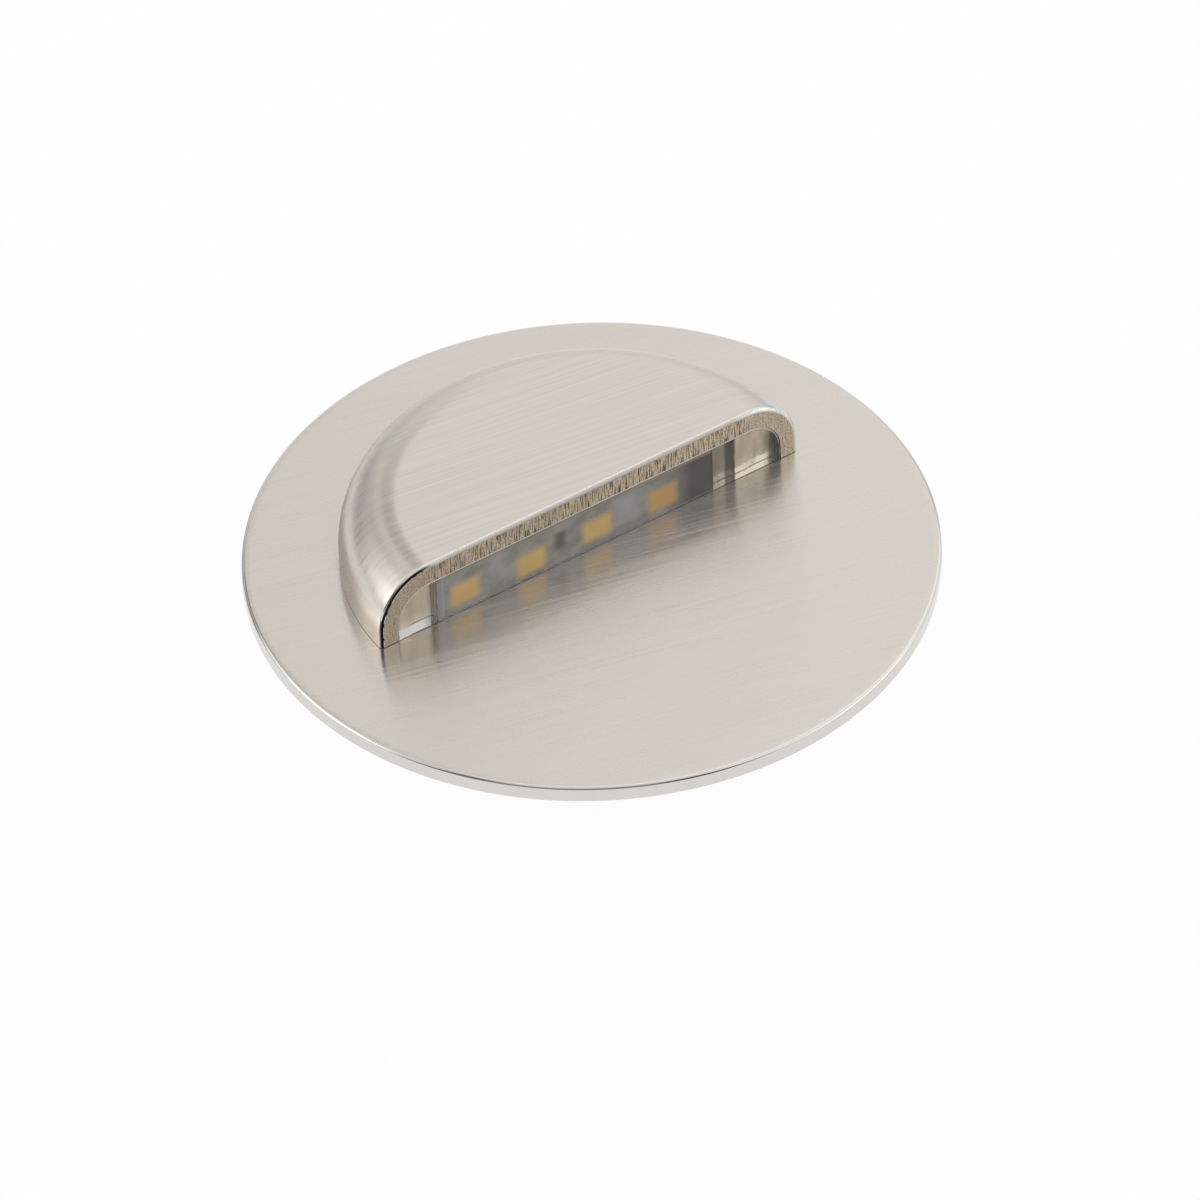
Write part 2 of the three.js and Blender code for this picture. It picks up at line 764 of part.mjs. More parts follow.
function makeGlandBody() {
  const neckTop = locknutBottom + locknutHeight + fitGap;
  const flange = hexagon(glandHex, glandFlangeBottom, glandFlangeTop);
  const neck = rod(glandNeck, glandStubBottom, neckTop, smallSides);
  const bore = rod(glandBore, glandStubBottom - overrun, neckTop + overrun, smallSides);
  const seat = rod(glandSealOuter + contactGap, glandStubBottom - overrun, sealSeat, smallSides);
  return flange.add(neck).subtract(bore).subtract(seat);
}

function makeLocknut() {
  const nut = hexagon(locknutHex, locknutBottom, locknutBottom + locknutHeight);
  return nut.subtract(rod(glandNeck + contactGap, capBottom, driverBottom, smallSides));
}

function makeGlandSeal() {
  return ring(glandBore, glandSealOuter, glandSkirtBottom + contactGap, sealSeat - contactGap, smallSides);
}

function makeGlandNut() {
  const corner = cornerRadius(glandHex);
  const dome = turned([
    [0, glandNutTop],
    [corner, glandNutTop],
    [corner, glandNutBottom + glandNutBevel],
    [corner - glandNutBevel, glandNutBottom],
    [0, glandNutBottom],
  ].reverse(), smallSides);
  const outside = hexagon(glandHex, glandNutBottom - overrun, glandNutTop).intersect(dome);
  const thread = rod(glandNeck + contactGap, glandSkirtBottom, glandNutTop + overrun, smallSides);
  const bore = rod(glandBore, glandNutBottom - overrun, glandNutTop + overrun, smallSides);
  return outside.subtract(thread).subtract(bore);
}

// Clips, drawn for the right side with the pivot at the origin of their own group

function makeClipArm() {
  const half = armWidth / 2;
  const run = Math.hypot(armReach, armRise);
  const side = [armReach / run, armRise / run];
  const teeth = Array.from({ length: toothCount }, (_, tooth) => {
    const low = 1 - (toothCount - tooth) * (armLand / run);
    const high = low + armLand / run;
    const at = (share, push) => [
      armThickness / 2 + share * (armReach - armThickness / 2) - push * side[1],
      share * armRise + push * side[0],
    ];
    return [at(low, toothDepth), at(high, 0)];
  }).flat();
  const strip = outlineOf([
    [-armThickness / 2, 0],
    [armThickness / 2, 0],
    ...teeth,
    [armReach - armLand, armRise],
  ]);
  const heel = outlineOf([[-hubRadius, 0], [-hubRadius, -heelDrop], [0, -heelDrop], [0, 0]]);
  const hub = crossRod(hubRadius, 0, 0, -half, half, smallSides);
  const arm = slab(strip, -half, half).add(hub).add(slab(heel, -half, half));
  const window = box(
    -hubRadius - overrun,
    armReach,
    -springSlot / 2,
    springSlot / 2,
    -heelDrop - overrun,
    springWindow,
  );
  return arm.subtract(window).subtract(crossRod(pinRadius + hubGap, 0, 0, -armWidth, armWidth, pinSides));
}

function makeClipPin() {
  const reach = armWidth / 2 + earGap + earThickness + pinOverhang;
  return crossRod(pinRadius, 0, 0, -reach, reach, pinSides);
}

// The spring's wire: down the leg on the barrel, round the pin, and up the leg behind the arm.
function springPoints() {
  const half = springPitch * springTurns / 2;
  const legStep = springRadius;
  const points = [];
  for (let z = springBarrelTop; z > legStep / 2; z -= legStep) {
    points.push([-springRadius, -half, z]);
  }
  const steps = springTurns * curlSteps;
  for (let step = 0; step <= steps; step += 1) {
    const turn = Math.PI + (step / curlSteps) * 2 * Math.PI;
    const y = -half + (step / steps) * springPitch * springTurns;
    points.push([springRadius * Math.cos(turn), y, springRadius * Math.sin(turn)]);
  }
  for (let z = legStep; z < springArmTop; z += legStep) {
    points.push([springRadius, half, z]);
  }
  points.push([springRadius, half, springArmTop]);
  return points.map((point) => new THREE.Vector3(...point));
}

// The least gap between one curl and the next, measured between points half a turn or more apart.
function leastSpringGap(points) {
  let least = Infinity;
  points.forEach((point, i) => {
    points.slice(i + curlSteps / 2).forEach((other) => {
      least = Math.min(least, point.distanceTo(other));
    });
  });
  return least - springWire;
}

function makeClipSpring() {
  const points = springPoints();
  console.log(`least gap between the spring's curls: ${leastSpringGap(points).toFixed(3)} mm`);
  return wire(points, springWire / 2, curlSides, points.length - 1);
}

// The assembly

const deckLight = new THREE.Group();
const face = new THREE.Group();
const lightEngine = new THREE.Group();
const housing = new THREE.Group();
const driver = new THREE.Group();
const gland = new THREE.Group();
deckLight.add(face, lightEngine, housing, driver, gland);

addPiece(face, 'face_plate', makeFacePlate(), brushedSteel());
addPiece(face, 'hood', makeHood(), brushedSteel());
addPiece(face, 'flange_gasket', makeGasket(), blackRubber());
hoodScrewPlaces.forEach(([x, y], index) => {
  const screw = addPiece(face, `hood_screw_${index + 1}`, makeHoodScrew(), polishedSteel());
  screw.position.set(x, y, 0);
});

addPiece(lightEngine, 'window', makeWindow(), clearResin());
addPiece(lightEngine, 'diffuser', makeDiffuser(), frostedResin());
addPiece(lightEngine, 'led_board', makeBoard(), boardWhite());
for (let index = 0; index < ledCount; index += 1) {
  const led = new THREE.Group();
  led.position.set(ledPlace(index), 0, boardMiddle);
  addPiece(led, `led_${index + 1}`, makeLed(), whiteCeramic());
  addPiece(led, `led_phosphor_${index + 1}`, makePhosphor(), phosphor());
  lightEngine.add(led);
}
addPiece(lightEngine, 'resistor', makeResistor(), darkCeramic());
addPiece(lightEngine, 'led_carrier', makeCarrier(), polishedSteel());
addPiece(lightEngine, 'lead_red', makeLead(-1), redSheath());
addPiece(lightEngine, 'lead_black', makeLead(1), blackSheath());
const grommet = addPiece(lightEngine, 'wire_grommet', makeGrommet(), blackRubber());
grommet.position.set(0, grommetY, 0);

addPiece(housing, 'barrel', makeBarrel(), castAluminium());
addPiece(housing, 'rear_cap', makeCap(), blackNylon());
addPiece(housing, 'cap_seal', makeCapSeal(), blackRubber());
capScrewPlaces.forEach(([x, y], index) => {
  const screw = addPiece(housing, `cap_screw_${index + 1}`, makeCapScrew(), polishedSteel());
  screw.position.set(x, y, 0);
});

addPiece(driver, 'driver_board', makeDriverBoard(), greenBoard());
addPiece(driver, 'inductor', makeInductor(), ferrite());
addPiece(driver, 'capacitor', makeCapacitor(), castAluminium());
addPiece(driver, 'driver_chip', makeChip(), blackEpoxy());
const rectifier = blockAt(-partColumn, frontRow, rectifierLength, rectifierWidth, rectifierHeight);
addPiece(driver, 'rectifier', rectifier, blackEpoxy());
addPiece(driver, 'input_terminal', makeTerminal(), terminalGreen());

addPiece(gland, 'gland_body', makeGlandBody(), blackNylon());
addPiece(gland, 'gland_locknut', makeLocknut(), blackNylon());
addPiece(gland, 'gland_seal', makeGlandSeal(), blackRubber());
addPiece(gland, 'gland_nut', makeGlandNut(), blackNylon());

for (const [side, turn] of [['right', 0], ['left', Math.PI]]) {
  const clip = new THREE.Group();
  const pivot = new THREE.Group();
  pivot.position.set(clipPivotX, 0, clipPivotZ);
  clip.rotation.z = turn;
  clip.add(pivot);
  addPiece(pivot, `clip_arm_${side}`, makeClipArm(), castAluminium());
  addPiece(pivot, `clip_pin_${side}`, makeClipPin(), polishedSteel());
  addPiece(pivot, `clip_spring_${side}`, makeClipSpring(), springSteel());
  deckLight.add(clip);
}

deckLight.updateMatrixWorld(true);

export default deckLight;
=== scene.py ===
"""The visible model of a recessed deck light, with its camera, light and floor.

Shapes are made in millimetres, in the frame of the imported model, and place() scales them to metres.
X runs along the cut of the hood, Y to the hood's back and Z up.
"""

import math

import bmesh
import bpy
from mathutils import Matrix, Vector


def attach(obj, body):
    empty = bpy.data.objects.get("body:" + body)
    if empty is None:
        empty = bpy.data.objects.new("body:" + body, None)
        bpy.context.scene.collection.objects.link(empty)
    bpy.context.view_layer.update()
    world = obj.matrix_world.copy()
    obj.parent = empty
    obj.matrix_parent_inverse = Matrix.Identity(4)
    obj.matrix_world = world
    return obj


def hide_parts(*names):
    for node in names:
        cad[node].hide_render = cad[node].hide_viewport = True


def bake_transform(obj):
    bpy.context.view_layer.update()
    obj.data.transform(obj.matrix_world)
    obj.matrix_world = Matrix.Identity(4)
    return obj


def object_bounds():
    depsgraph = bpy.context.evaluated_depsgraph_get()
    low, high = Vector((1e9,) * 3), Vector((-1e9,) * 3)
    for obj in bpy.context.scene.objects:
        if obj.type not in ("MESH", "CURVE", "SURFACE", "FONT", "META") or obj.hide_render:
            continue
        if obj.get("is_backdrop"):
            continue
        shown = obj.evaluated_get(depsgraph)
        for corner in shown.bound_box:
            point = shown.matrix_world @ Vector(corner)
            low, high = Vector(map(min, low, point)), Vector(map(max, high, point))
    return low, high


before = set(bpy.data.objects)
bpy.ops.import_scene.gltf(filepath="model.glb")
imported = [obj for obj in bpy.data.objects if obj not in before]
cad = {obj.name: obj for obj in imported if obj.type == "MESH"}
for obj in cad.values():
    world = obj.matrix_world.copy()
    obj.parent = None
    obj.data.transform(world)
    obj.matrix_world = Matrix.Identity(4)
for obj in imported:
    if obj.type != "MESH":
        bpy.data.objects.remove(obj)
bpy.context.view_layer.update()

MM = 0.001
TURN = 2 * math.pi
FLAT = 0.999                               # a normal with this share of an axis lies along it

# ---------------------------------------------------------------- sizes, in millimetres

FIT, CLOSE_FIT = 0.15, 0.04                # gaps round what fills the hood
CONTACT = 0.05                             # gap between parts that meet
PAST = 1                                   # how far a cutting tool runs past what it cuts
FAR, HIGH = 25, 12                         # beyond the hood, for tools that cut all of it
HOLE_SIDES, BOSS_SIDES = 34, 42            # their edges don't fall on those of the round shapes

PLATE_RADIUS, PLATE_LOW, PLATE_TOP = 30, 0.85, 2.35
PLATE_LOWER_ROUND, PLATE_UPPER_ROUND = 0.15, 0.3
GASKET_BORE, GASKET_RADIUS, GASKET_TOP, GASKET_EDGE = 14.3, 28, 0.8, 0.1

HOOD_BASE, HOOD_TOP, HOOD_RADIUS, HOOD_SHOULDER = 2.40, 9.25, 21.6, 5.2
HOOD_ROUND = 0.36                          # between the cut face and the outside
MOUTH_RADIUS, MOUTH_TOP, MOUTH_SHOULDER = 19.85, 7.25, 3.4
SCREW_CIRCLE, SCREW_DEGREES = 8.2, (140, 40, 90)
SCREW_HOLE, BOSS_RADIUS, HOLE_SKIN = 1.15, 1.9, 0.9
FOOT_HALF, FOOT_THICKNESS = 2.1, 0.8
FOOT_HOLE = (1, 6)                         # from below the foot to above it

WINDOW_BACK = 1.45
WINDOW_FRONT = ((0.03, -0.11), (0.15, 0.03), (3, 0.03))    # place along Y, growth of the outline
LEFT, RIGHT, LOW, TOP = -15.65, 12.8, 2.40, 6.90           # the frosted cover
COVER_FRONT = 0.30
COVER_HOLLOW = (-14.95, 10.95, 0.45, 3, 2.65, 6.65)
CARRIER_FRONT, CARRIER_BACK = 1.50, 2.30
LED_PLACES = (-12.8, -6.0, 0.8, 7.6)
LED_HEIGHT = 4.40

BARREL_RADIUS, BARREL_TOP, BARREL_BOTTOM = 14, 0.80, -10.40
BARREL_CEILING, LEDGE, UPPER_BORE, LOWER_BORE = -1.0, -4.6, 9.9, 10.5
SEAL_TOP, SEAL_LOW, SEAL_BORE = -10.45, -11.05, 10.65
CAP_RADIUS, CAP_TOP, CAP_BOTTOM, CAP_BORE = 14, -11.10, -13.30, 4.75
SPIGOT_RADIUS, SPIGOT_BORE, SPIGOT_TOP = 10.35, 9.55, -5.7
CAP_SCREW_CIRCLE, CAP_SCREW_DEGREES = 11.9, (90, 210, 330)
CAP_SCREW_HOLE, CAP_SCREW_HOLE_TOP = 0.95, -7
SINK_RADIUS, SINK_DEPTH = 1.6, 0.85
SCREW_HEAD, SCREW_SHANK, SCREW_LENGTH = 1.45, 0.8, 6
CROSS_HALF, CROSS_WIDTH, CROSS_DEPTH = 0.8, 0.25, 0.6

FLANGE_TOP, FLANGE_BOTTOM = -13.35, -14.95
NUT_TOP, SKIRT_BOTTOM, NUT_BOTTOM, STUB_BOTTOM = -15.10, -17.90, -19.10, -17.55
GLAND_BORE, GLAND_NECK, GLAND_NECK_TOP, GLAND_HEX = 3.2, 4.6, -9.4, 12.5
GLAND_POCKET, NUT_POCKET = 4.15, 4.65
GLAND_BELOW, GLAND_ABOVE = -20, -8         # beyond the gland, for tools that go through it
GLAND_RING_RADIUS, GLAND_RING_LOW, GLAND_RING_TOP = 4.1, -17.85, -15.0

PIVOT_X, PIVOT_Z = 13.5, -8.7
POCKET_DEPTH, POCKET_HEIGHT = 1.6, 6.9     # from the pivot inward and up
EAR_FOOT, EAR_RADIUS, EAR_THICKNESS = 12.25, 1.5, 1.3
ARM_HALF, ARM_GAP = 3.5, 0.2
ARM_LEAN, ARM_HEIGHT, ARM_FLANK, ARM_TIP = 3.45, 5.9, 0.55, 2.8
TOOTH_COUNT, TOOTH_PITCH, TOOTH_DEPTH = 3, 1.2, 0.4
HEEL_RADIUS, HEEL_DEPTH = 1.3, 1.2
PIN_RADIUS, PIN_PROUD = 0.6, 0.3
EAR_HOLE, ARM_HOLE = 0.65, 0.7
ACROSS = 7                                 # beyond both ears, for tools along the pivot
FORK_GAP = (-2.3, 4, -1.8, 1.8, -2.2, 3.6)
COIL_RADIUS, COIL_TURNS, COIL_PITCH, WIRE_RADIUS = 1.1, 3.5, 0.85, 0.2
FIXED_LEG = (3, 2.4, 1.8, 1.2, 0.7, 0.3)   # heights over the pivot, in the order of the wire
MOVING_LEG = (0.3, 0.7, 1.2, 1.8, 2.4, 3.0, 3.6, 4.2, 4.6)
TWIST_REACH = 0.9                          # a reach out from the pivot, for an end point of each spring that nothing uses

# ---------------------------------------------------------------- making shapes


def mesh_object(name, points, faces):
    """A new object with these points and faces, with all its faces turned outward."""
    mesh = bpy.data.meshes.new(name)
    mesh.from_pydata([tuple(p) for p in points], [], faces)
    work = bmesh.new()
    work.from_mesh(mesh)
    bmesh.ops.recalc_face_normals(work, faces=work.faces)
    work.to_mesh(mesh)
    work.free()
    obj = bpy.data.objects.new(name, mesh)
    bpy.context.scene.collection.objects.link(obj)
    return obj


def arc(centre, radius, start, end, steps):
    """Points of an arc in a plane, from start to end in degrees."""
    angles = [math.radians(start + (end - start) * i / steps) for i in range(steps + 1)]
    return [(centre[0] + radius * math.cos(a), centre[1] + radius * math.sin(a)) for a in angles]


def on_circle(radius, degrees):
    """Places round Z at these angles."""
    angles = [math.radians(a) for a in degrees]
    return [(radius * math.cos(a), radius * math.sin(a)) for a in angles]


def lathe(profile, sides, closed=False):
    """A profile of (radius, height) turned round Z, from the axis to the axis unless closed."""
    points, rows = [], []
    for radius, height in profile:
        count = 1 if radius < 1e-6 else sides
        rows.append(range(len(points), len(points) + count))
        points += [
            (radius * math.cos(TURN * i / sides), radius * math.sin(TURN * i / sides), height)
            for i in range(count)
        ]
    faces = []
    for low, high in zip(rows, list(rows[1:]) + ([rows[0]] if closed else [])):
        for i in range(sides):
            j = (i + 1) % sides
            corners = [low[i % len(low)], low[j % len(low)],
                       high[j % len(high)], high[i % len(high)]]
            corners = list(dict.fromkeys(corners))
            if len(corners) > 2:
                faces.append(corners)
    return mesh_object("part", points, faces)


def rod(radius, low, high, sides, x=0, y=0):
    """An upright rod."""
    part = lathe([(0, low), (radius, low), (radius, high), (0, high)], sides)
    part.data.transform(Matrix.Translation((x, y, 0)))
    return part


def hexagon(across_flats, low, high):
    """An upright hexagon bar."""
    return rod(across_flats / 2 / math.cos(math.pi / 6), low, high, 6)


def puck(radius, low, top, shoulder):
    """A disc whose upper edge is a round shoulder."""
    turn = arc((radius - shoulder, top - shoulder), shoulder, 0, 90, 14)
    return lathe([(0, low), (radius, low)] + turn + [(0, top)], 224)


def prism(outline, start, end, axis="Y"):
    """A closed outline run along an axis: (x, z) along Y or (x, y) along Z."""
    def put(p, along):
        return (p[0], along, p[1]) if axis == "Y" else (p[0], p[1], along)

    count = len(outline)
    points = [put(p, along) for along in (start, end) for p in outline]
    faces = [list(range(count))[::-1], list(range(count, 2 * count))]
    faces += [[i, (i + 1) % count, count + (i + 1) % count, count + i] for i in range(count)]
    return mesh_object("part", points, faces)


def loft(rows):
    """A solid through closed outlines of (x, z), each at its own place along Y."""
    count = len(rows[0][1])
    points = [(x, y, z) for y, outline in rows for x, z in outline]
    faces = [list(range(count))[::-1], list(range(len(points) - count, len(points)))]
    for here in range(0, len(points) - count, count):
        after = here + count
        faces += [[here + i, here + (i + 1) % count, after + (i + 1) % count, after + i]
                  for i in range(count)]
    return mesh_object("part", points, faces)


def box(x0, x1, y0, y1, z0, z1):
    """A block between two corners."""
    return prism([(x0, z0), (x1, z0), (x1, z1), (x0, z1)], y0, y1)


def cross_rod(radius, x, z, y0, y1, sides=48):
    """A rod along Y."""
    return prism(arc((x, z), radius, 0, 360 * (1 - 1 / sides), sides - 1), y0, y1)


def tube(path, radius, sides=14):
    """A round wire along a list of points."""
    points, faces = [], []
    normal = None
    count = len(path)
    for i, here in enumerate(path):
        along = (path[min(i + 1, count - 1)] - path[max(i - 1, 0)]).normalized()
        if normal is None:
            normal = along.orthogonal().normalized()
        normal = (normal - along * normal.dot(along)).normalized()
        across = along.cross(normal)
        for k in range(sides):
            turn = TURN * k / sides
            points.append(here + (normal * math.cos(turn) + across * math.sin(turn)) * radius)
    for i in range(count - 1):
        for k in range(sides):
            n = (k + 1) % sides
            faces.append([i * sides + k, i * sides + n, (i + 1) * sides + n, (i + 1) * sides + k])
    faces += [list(range(sides))[::-1], list(range((count - 1) * sides, count * sides))]
    return mesh_object("part", points, faces)


def settle(obj):
    """Applies an object's modifiers and merges the points that a boolean leaves doubled."""
    graph = bpy.context.evaluated_depsgraph_get()
    made = bpy.data.meshes.new_from_object(obj.evaluated_get(graph))
    work = bmesh.new()
    work.from_mesh(made)
    bmesh.ops.remove_doubles(work, verts=work.verts, dist=0.0001)
    work.to_mesh(made)
    work.free()
    obj.modifiers.clear()
    old, obj.data = obj.data, made
    bpy.data.meshes.remove(old)
    return obj


def combine(target, tools, operation):
    """A boolean of a shape with some tools, which it uses up."""
    for tool in tools:
        step = target.modifiers.new(operation, "BOOLEAN")
        step.operation = operation
        step.solver = "EXACT"
        step.object = tool
    settle(target)
    for tool in tools:
        bpy.data.objects.remove(tool)
    return target


def cut(target, *tools):
    return combine(target, tools, "DIFFERENCE")


def join(target, *tools):
    return combine(target, tools, "UNION")


def ease(obj, width):
    """Rounds the sharp edges."""
    step = obj.modifiers.new("ease", "BEVEL")
    step.width = width
    step.segments = 2
    step.limit_method = "ANGLE"
    step.angle_limit = math.radians(38)
    step.use_clamp_overlap = True
    return settle(obj)


def place(obj, name, body, materials, node, pick=None):
    """Names a finished shape, scales it to metres, gives it its materials and ties it to its body.

    It stands for one CAD node. pick says which of the materials a face has. With no body, the
    piece is tied to no body.
    """
    obj.name = name
    obj.data.name = name
    mesh = obj.data
    mesh.transform(Matrix.Scale(MM, 4))
    mesh.shade_smooth()
    mesh.set_sharp_from_angle(angle=math.radians(30))
    mesh.materials.clear()
    for finish in materials:
        mesh.materials.append(finish)
    for face in mesh.polygons:
        face.material_index = pick(face) if pick else 0
    even = obj.modifiers.new("normals", "WEIGHTED_NORMAL")
    even.keep_sharp = True
    even.weight = 100
    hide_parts(node)
    if body:
        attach(obj, body)


# ---------------------------------------------------------------- materials


class Nodes:
    """A short way to write a node tree."""

    def __init__(self, tree):
        self.tree = tree

    def put(self, socket, value):
        """Links a value to a socket, or sets the number there."""
        if isinstance(value, bpy.types.NodeSocket):
            self.tree.links.new(value, socket)
        else:
            socket.default_value = value

    def add(self, kind, settings=None, **inputs):
        """A node. Its inputs go by name, with _ for a space, or by number as i0, i1 and so on."""
        node = self.tree.nodes.new(kind)
        for key, value in (settings or {}).items():
            setattr(node, key, value)
        for key, value in inputs.items():
            numbered = key[0] == "i" and key[1:].isdigit()
            self.put(node.inputs[int(key[1:]) if numbered else key.replace("_", " ")], value)
        return node

    def math(self, operation, a, b=0.0):
        return self.add("ShaderNodeMath", {"operation": operation}, i0=a, i1=b).outputs[0]

    def times(self, a, b):
        return self.math("MULTIPLY", a, b)

    def millimetres(self, scale=(1, 1, 1)):
        """The place on the object, in millimetres, times a scale for each axis."""
        where = self.add("ShaderNodeTexCoord").outputs["Object"]
        factors = [s / MM for s in scale]
        return self.add("ShaderNodeVectorMath", {"operation": "MULTIPLY"},
                        i0=where, i1=factors).outputs[0]

    def axes(self, vector=None):
        """The three parts of a vector, or else of the place in millimetres."""
        if vector is None:
            vector = self.millimetres()
        return self.add("ShaderNodeSeparateXYZ", Vector=vector).outputs

    def normal(self):
        return self.add("ShaderNodeNewGeometry").outputs["Normal"]

    def noise(self, vector, scale, detail=2.0, rough=0.5):
        return self.add("ShaderNodeTexNoise", Vector=vector, Scale=scale, Detail=detail,
                        Roughness=rough).outputs[0]

    def ramp(self, value, low, high, to_low=0.0, to_high=1.0, smooth=True):
        """Runs from to_low to to_high while the value goes from low to high, and stops there."""
        kind = "SMOOTHSTEP" if smooth else "LINEAR"
        return self.add("ShaderNodeMapRange", {"interpolation_type": kind}, Value=value,
                        From_Min=low, From_Max=high, To_Min=to_low, To_Max=to_high).outputs[0]

    def band(self, value, centre, half, soft, inside=1.0, outside=0.0):
        """A soft-edged band round a centre."""
        away = self.math("ABSOLUTE", self.math("SUBTRACT", value, centre))
        return self.ramp(away, half - soft, half + soft, inside, outside)

    def mix(self, share, a, b, blend="MIX"):
        node = self.add("ShaderNodeMix", {"data_type": "RGBA", "blend_type": blend})
        for index, value in ((0, share), (6, a), (7, b)):
            self.put(node.inputs[index], value)
        return node.outputs[2]

    def shaded(self, colour, shade):
        """A colour times a number."""
        grey = self.add("ShaderNodeCombineColor", Red=shade, Green=shade, Blue=shade).outputs[0]
        return self.mix(1.0, colour, grey, "MULTIPLY")

    def bump(self, height, strength, distance_mm):
        return self.add("ShaderNodeBump", Height=height, Strength=strength,
                        Distance=distance_mm * MM).outputs[0]


def rgb(red, green, blue):
    """A colour as seen on a screen, from 0 to 255, in linear light."""
    def linear(v):
        v /= 255
        return v / 12.92 if v <= 0.04045 else ((v + 0.055) / 1.055) ** 2.4
    return (linear(red), linear(green), linear(blue), 1.0)


def material(name):
    """A new material and the writer of its node tree."""
    made = bpy.data.materials.new(name)
    made.use_nodes = True
    made.node_tree.nodes.clear()
    return made, Nodes(made.node_tree)


def surface(n, **inputs):
    shader = n.add("ShaderNodeBsdfPrincipled", **inputs)
    n.add("ShaderNodeOutputMaterial", Surface=shader.outputs[0])


def brushed(name, colour, turn, tone, streak, wrap=False, roughness=0.24, depth=0.003):
    """Steel with fine lines near X, turned by some degrees.

    The lines vary in tone and in roughness. With wrap they also run round the sides, and a
    painted highlight makes the sides brighter near the cut, most of all low down.
    """
    made, n = material(name)
    where = n.add("ShaderNodeVectorRotate", {"rotation_type": "Z_AXIS"}, Vector=n.millimetres(),
                  Angle=math.radians(-turn)).outputs[0]
    side = None
    if wrap:
        side = n.ramp(n.math("ABSOLUTE", n.axes(n.normal())[1]), 0.45, 0.75)

    def lines(grain, length):
        across = n.add("ShaderNodeVectorMath", {"operation": "MULTIPLY"}, i0=where,
                       i1=(length, grain, length)).outputs[0]
        value = n.noise(across, 1.0, 2.0, 0.65)
        if wrap:
            level = n.noise(n.millimetres((length, length, grain)), 1.0, 2.0, 0.65)
            value = n.math("ADD", n.times(value, n.math("SUBTRACT", 1.0, side)),
                           n.times(level, side))
        return value

    coarse, fine = lines(3.2, 0.035), lines(5.6, 0.07)
    both = n.math("ADD", n.times(coarse, 0.25), n.times(fine, 0.75))
    rare = n.ramp(fine, 0.66, 0.78, 0.0, tone * 0.3)
    shade = n.math("ADD", n.ramp(both, 0.35, 0.65, 1 - tone, 1 + tone, smooth=False), rare)
    if wrap:
        _, y, z = n.axes()
        # painted highlight: up to half lighter low down near the cut, a tenth lighter higher up
        # beside it
        painted_low_highlight = n.times(n.ramp(y, 1.8, 5.6, 0.50, 0.0), n.ramp(z, 4.8, 7.0, 1.0, 0.0))
        corner = n.times(n.ramp(y, 0.9, 2.6, 0.10, 0.0), n.ramp(z, 8.2, 9.1, 1.0, 0.0))
        shade = n.times(shade, n.math("ADD", n.math("MAXIMUM", painted_low_highlight, corner), 1.0))
    rough = n.ramp(coarse, 0.36, 0.64, roughness * (1 - streak), roughness * (1 + streak),
                   smooth=False)
    away = math.radians(turn + 90)
    tangent = n.add("ShaderNodeCombineXYZ", X=math.cos(away), Y=math.sin(away), Z=0.0)
    surface(n, Base_Color=n.shaded(colour, shade), Metallic=1.0, Roughness=rough,
            Anisotropic=0.95, Normal=n.bump(both, 1.0, depth), Tangent=tangent.outputs[0])
    return made


def plain(name, colour, roughness, metallic=0.0, grain=6.0, depth=0.01, tone=0.08):
    """A moulded, cast or painted finish: fine grain, a little variation of tone."""
    made, n = material(name)
    where = n.millimetres()
    speck = n.noise(where, grain, 3.0, 0.6)
    broad = n.noise(where, 0.35, 2.0, 0.5)
    value = n.math("ADD", n.times(speck, 0.5), n.times(broad, 0.5))
    shade = n.ramp(value, 0.35, 0.65, 1 - tone, 1 + tone, smooth=False)
    rough = n.ramp(broad, 0.3, 0.7, roughness * 0.88, roughness * 1.12, smooth=False)
    surface(n, Base_Color=n.shaded(colour, shade), Metallic=metallic, Roughness=rough,
            Normal=n.bump(speck, 0.5, depth))
    return made


def rounded_edge():
    """The rounding of the cut face: bright, duller by the straight cut, dark by the left leg.
    The duller and dark parts are painted reflections; a burr by the left leg is shown by a broken
    painted glint.
    """
    made, n = material("edge_steel")
    x = n.axes()[0]
    facing = n.axes(n.normal())[1]
    speck = n.noise(n.millimetres(), 5.0, 3.0, 0.6)
    light = n.mix(n.ramp(speck, 0.35, 0.65), rgb(209, 205, 200), rgb(221, 217, 212))
    # painted reflections: duller along the straight cut, dark where it faces forward by the left leg
    straight = n.ramp(n.math("ABSOLUTE", x), 14.5, 17.0, 1.0, 0.0)
    dull_reflection = n.times(straight, n.ramp(facing, -0.72, -0.45, 1.0, 0.0))
    arch = n.ramp(x, -17.4, -15.4, 1.0, 0.0)
    dark = n.times(arch, n.ramp(facing, -0.78, -0.52, 1.0, 0.0))
    # a burr by the left leg, shown as a broken painted glint
    broken = n.ramp(n.noise(n.millimetres(), 1.6, 2.0), 0.42, 0.52)
    burr_glint = n.times(n.times(arch, n.ramp(facing, -0.995, -0.975, 1.0, 0.0)), broken)
    tint = n.mix(dark, n.mix(dull_reflection, light, rgb(182, 176, 169)), rgb(38, 35, 31))
    tint = n.mix(burr_glint, tint, rgb(236, 231, 224))
    surface(n, Base_Color=tint, Metallic=1.0, Roughness=0.14, Normal=n.bump(speck, 0.5, 0.004))
    return made


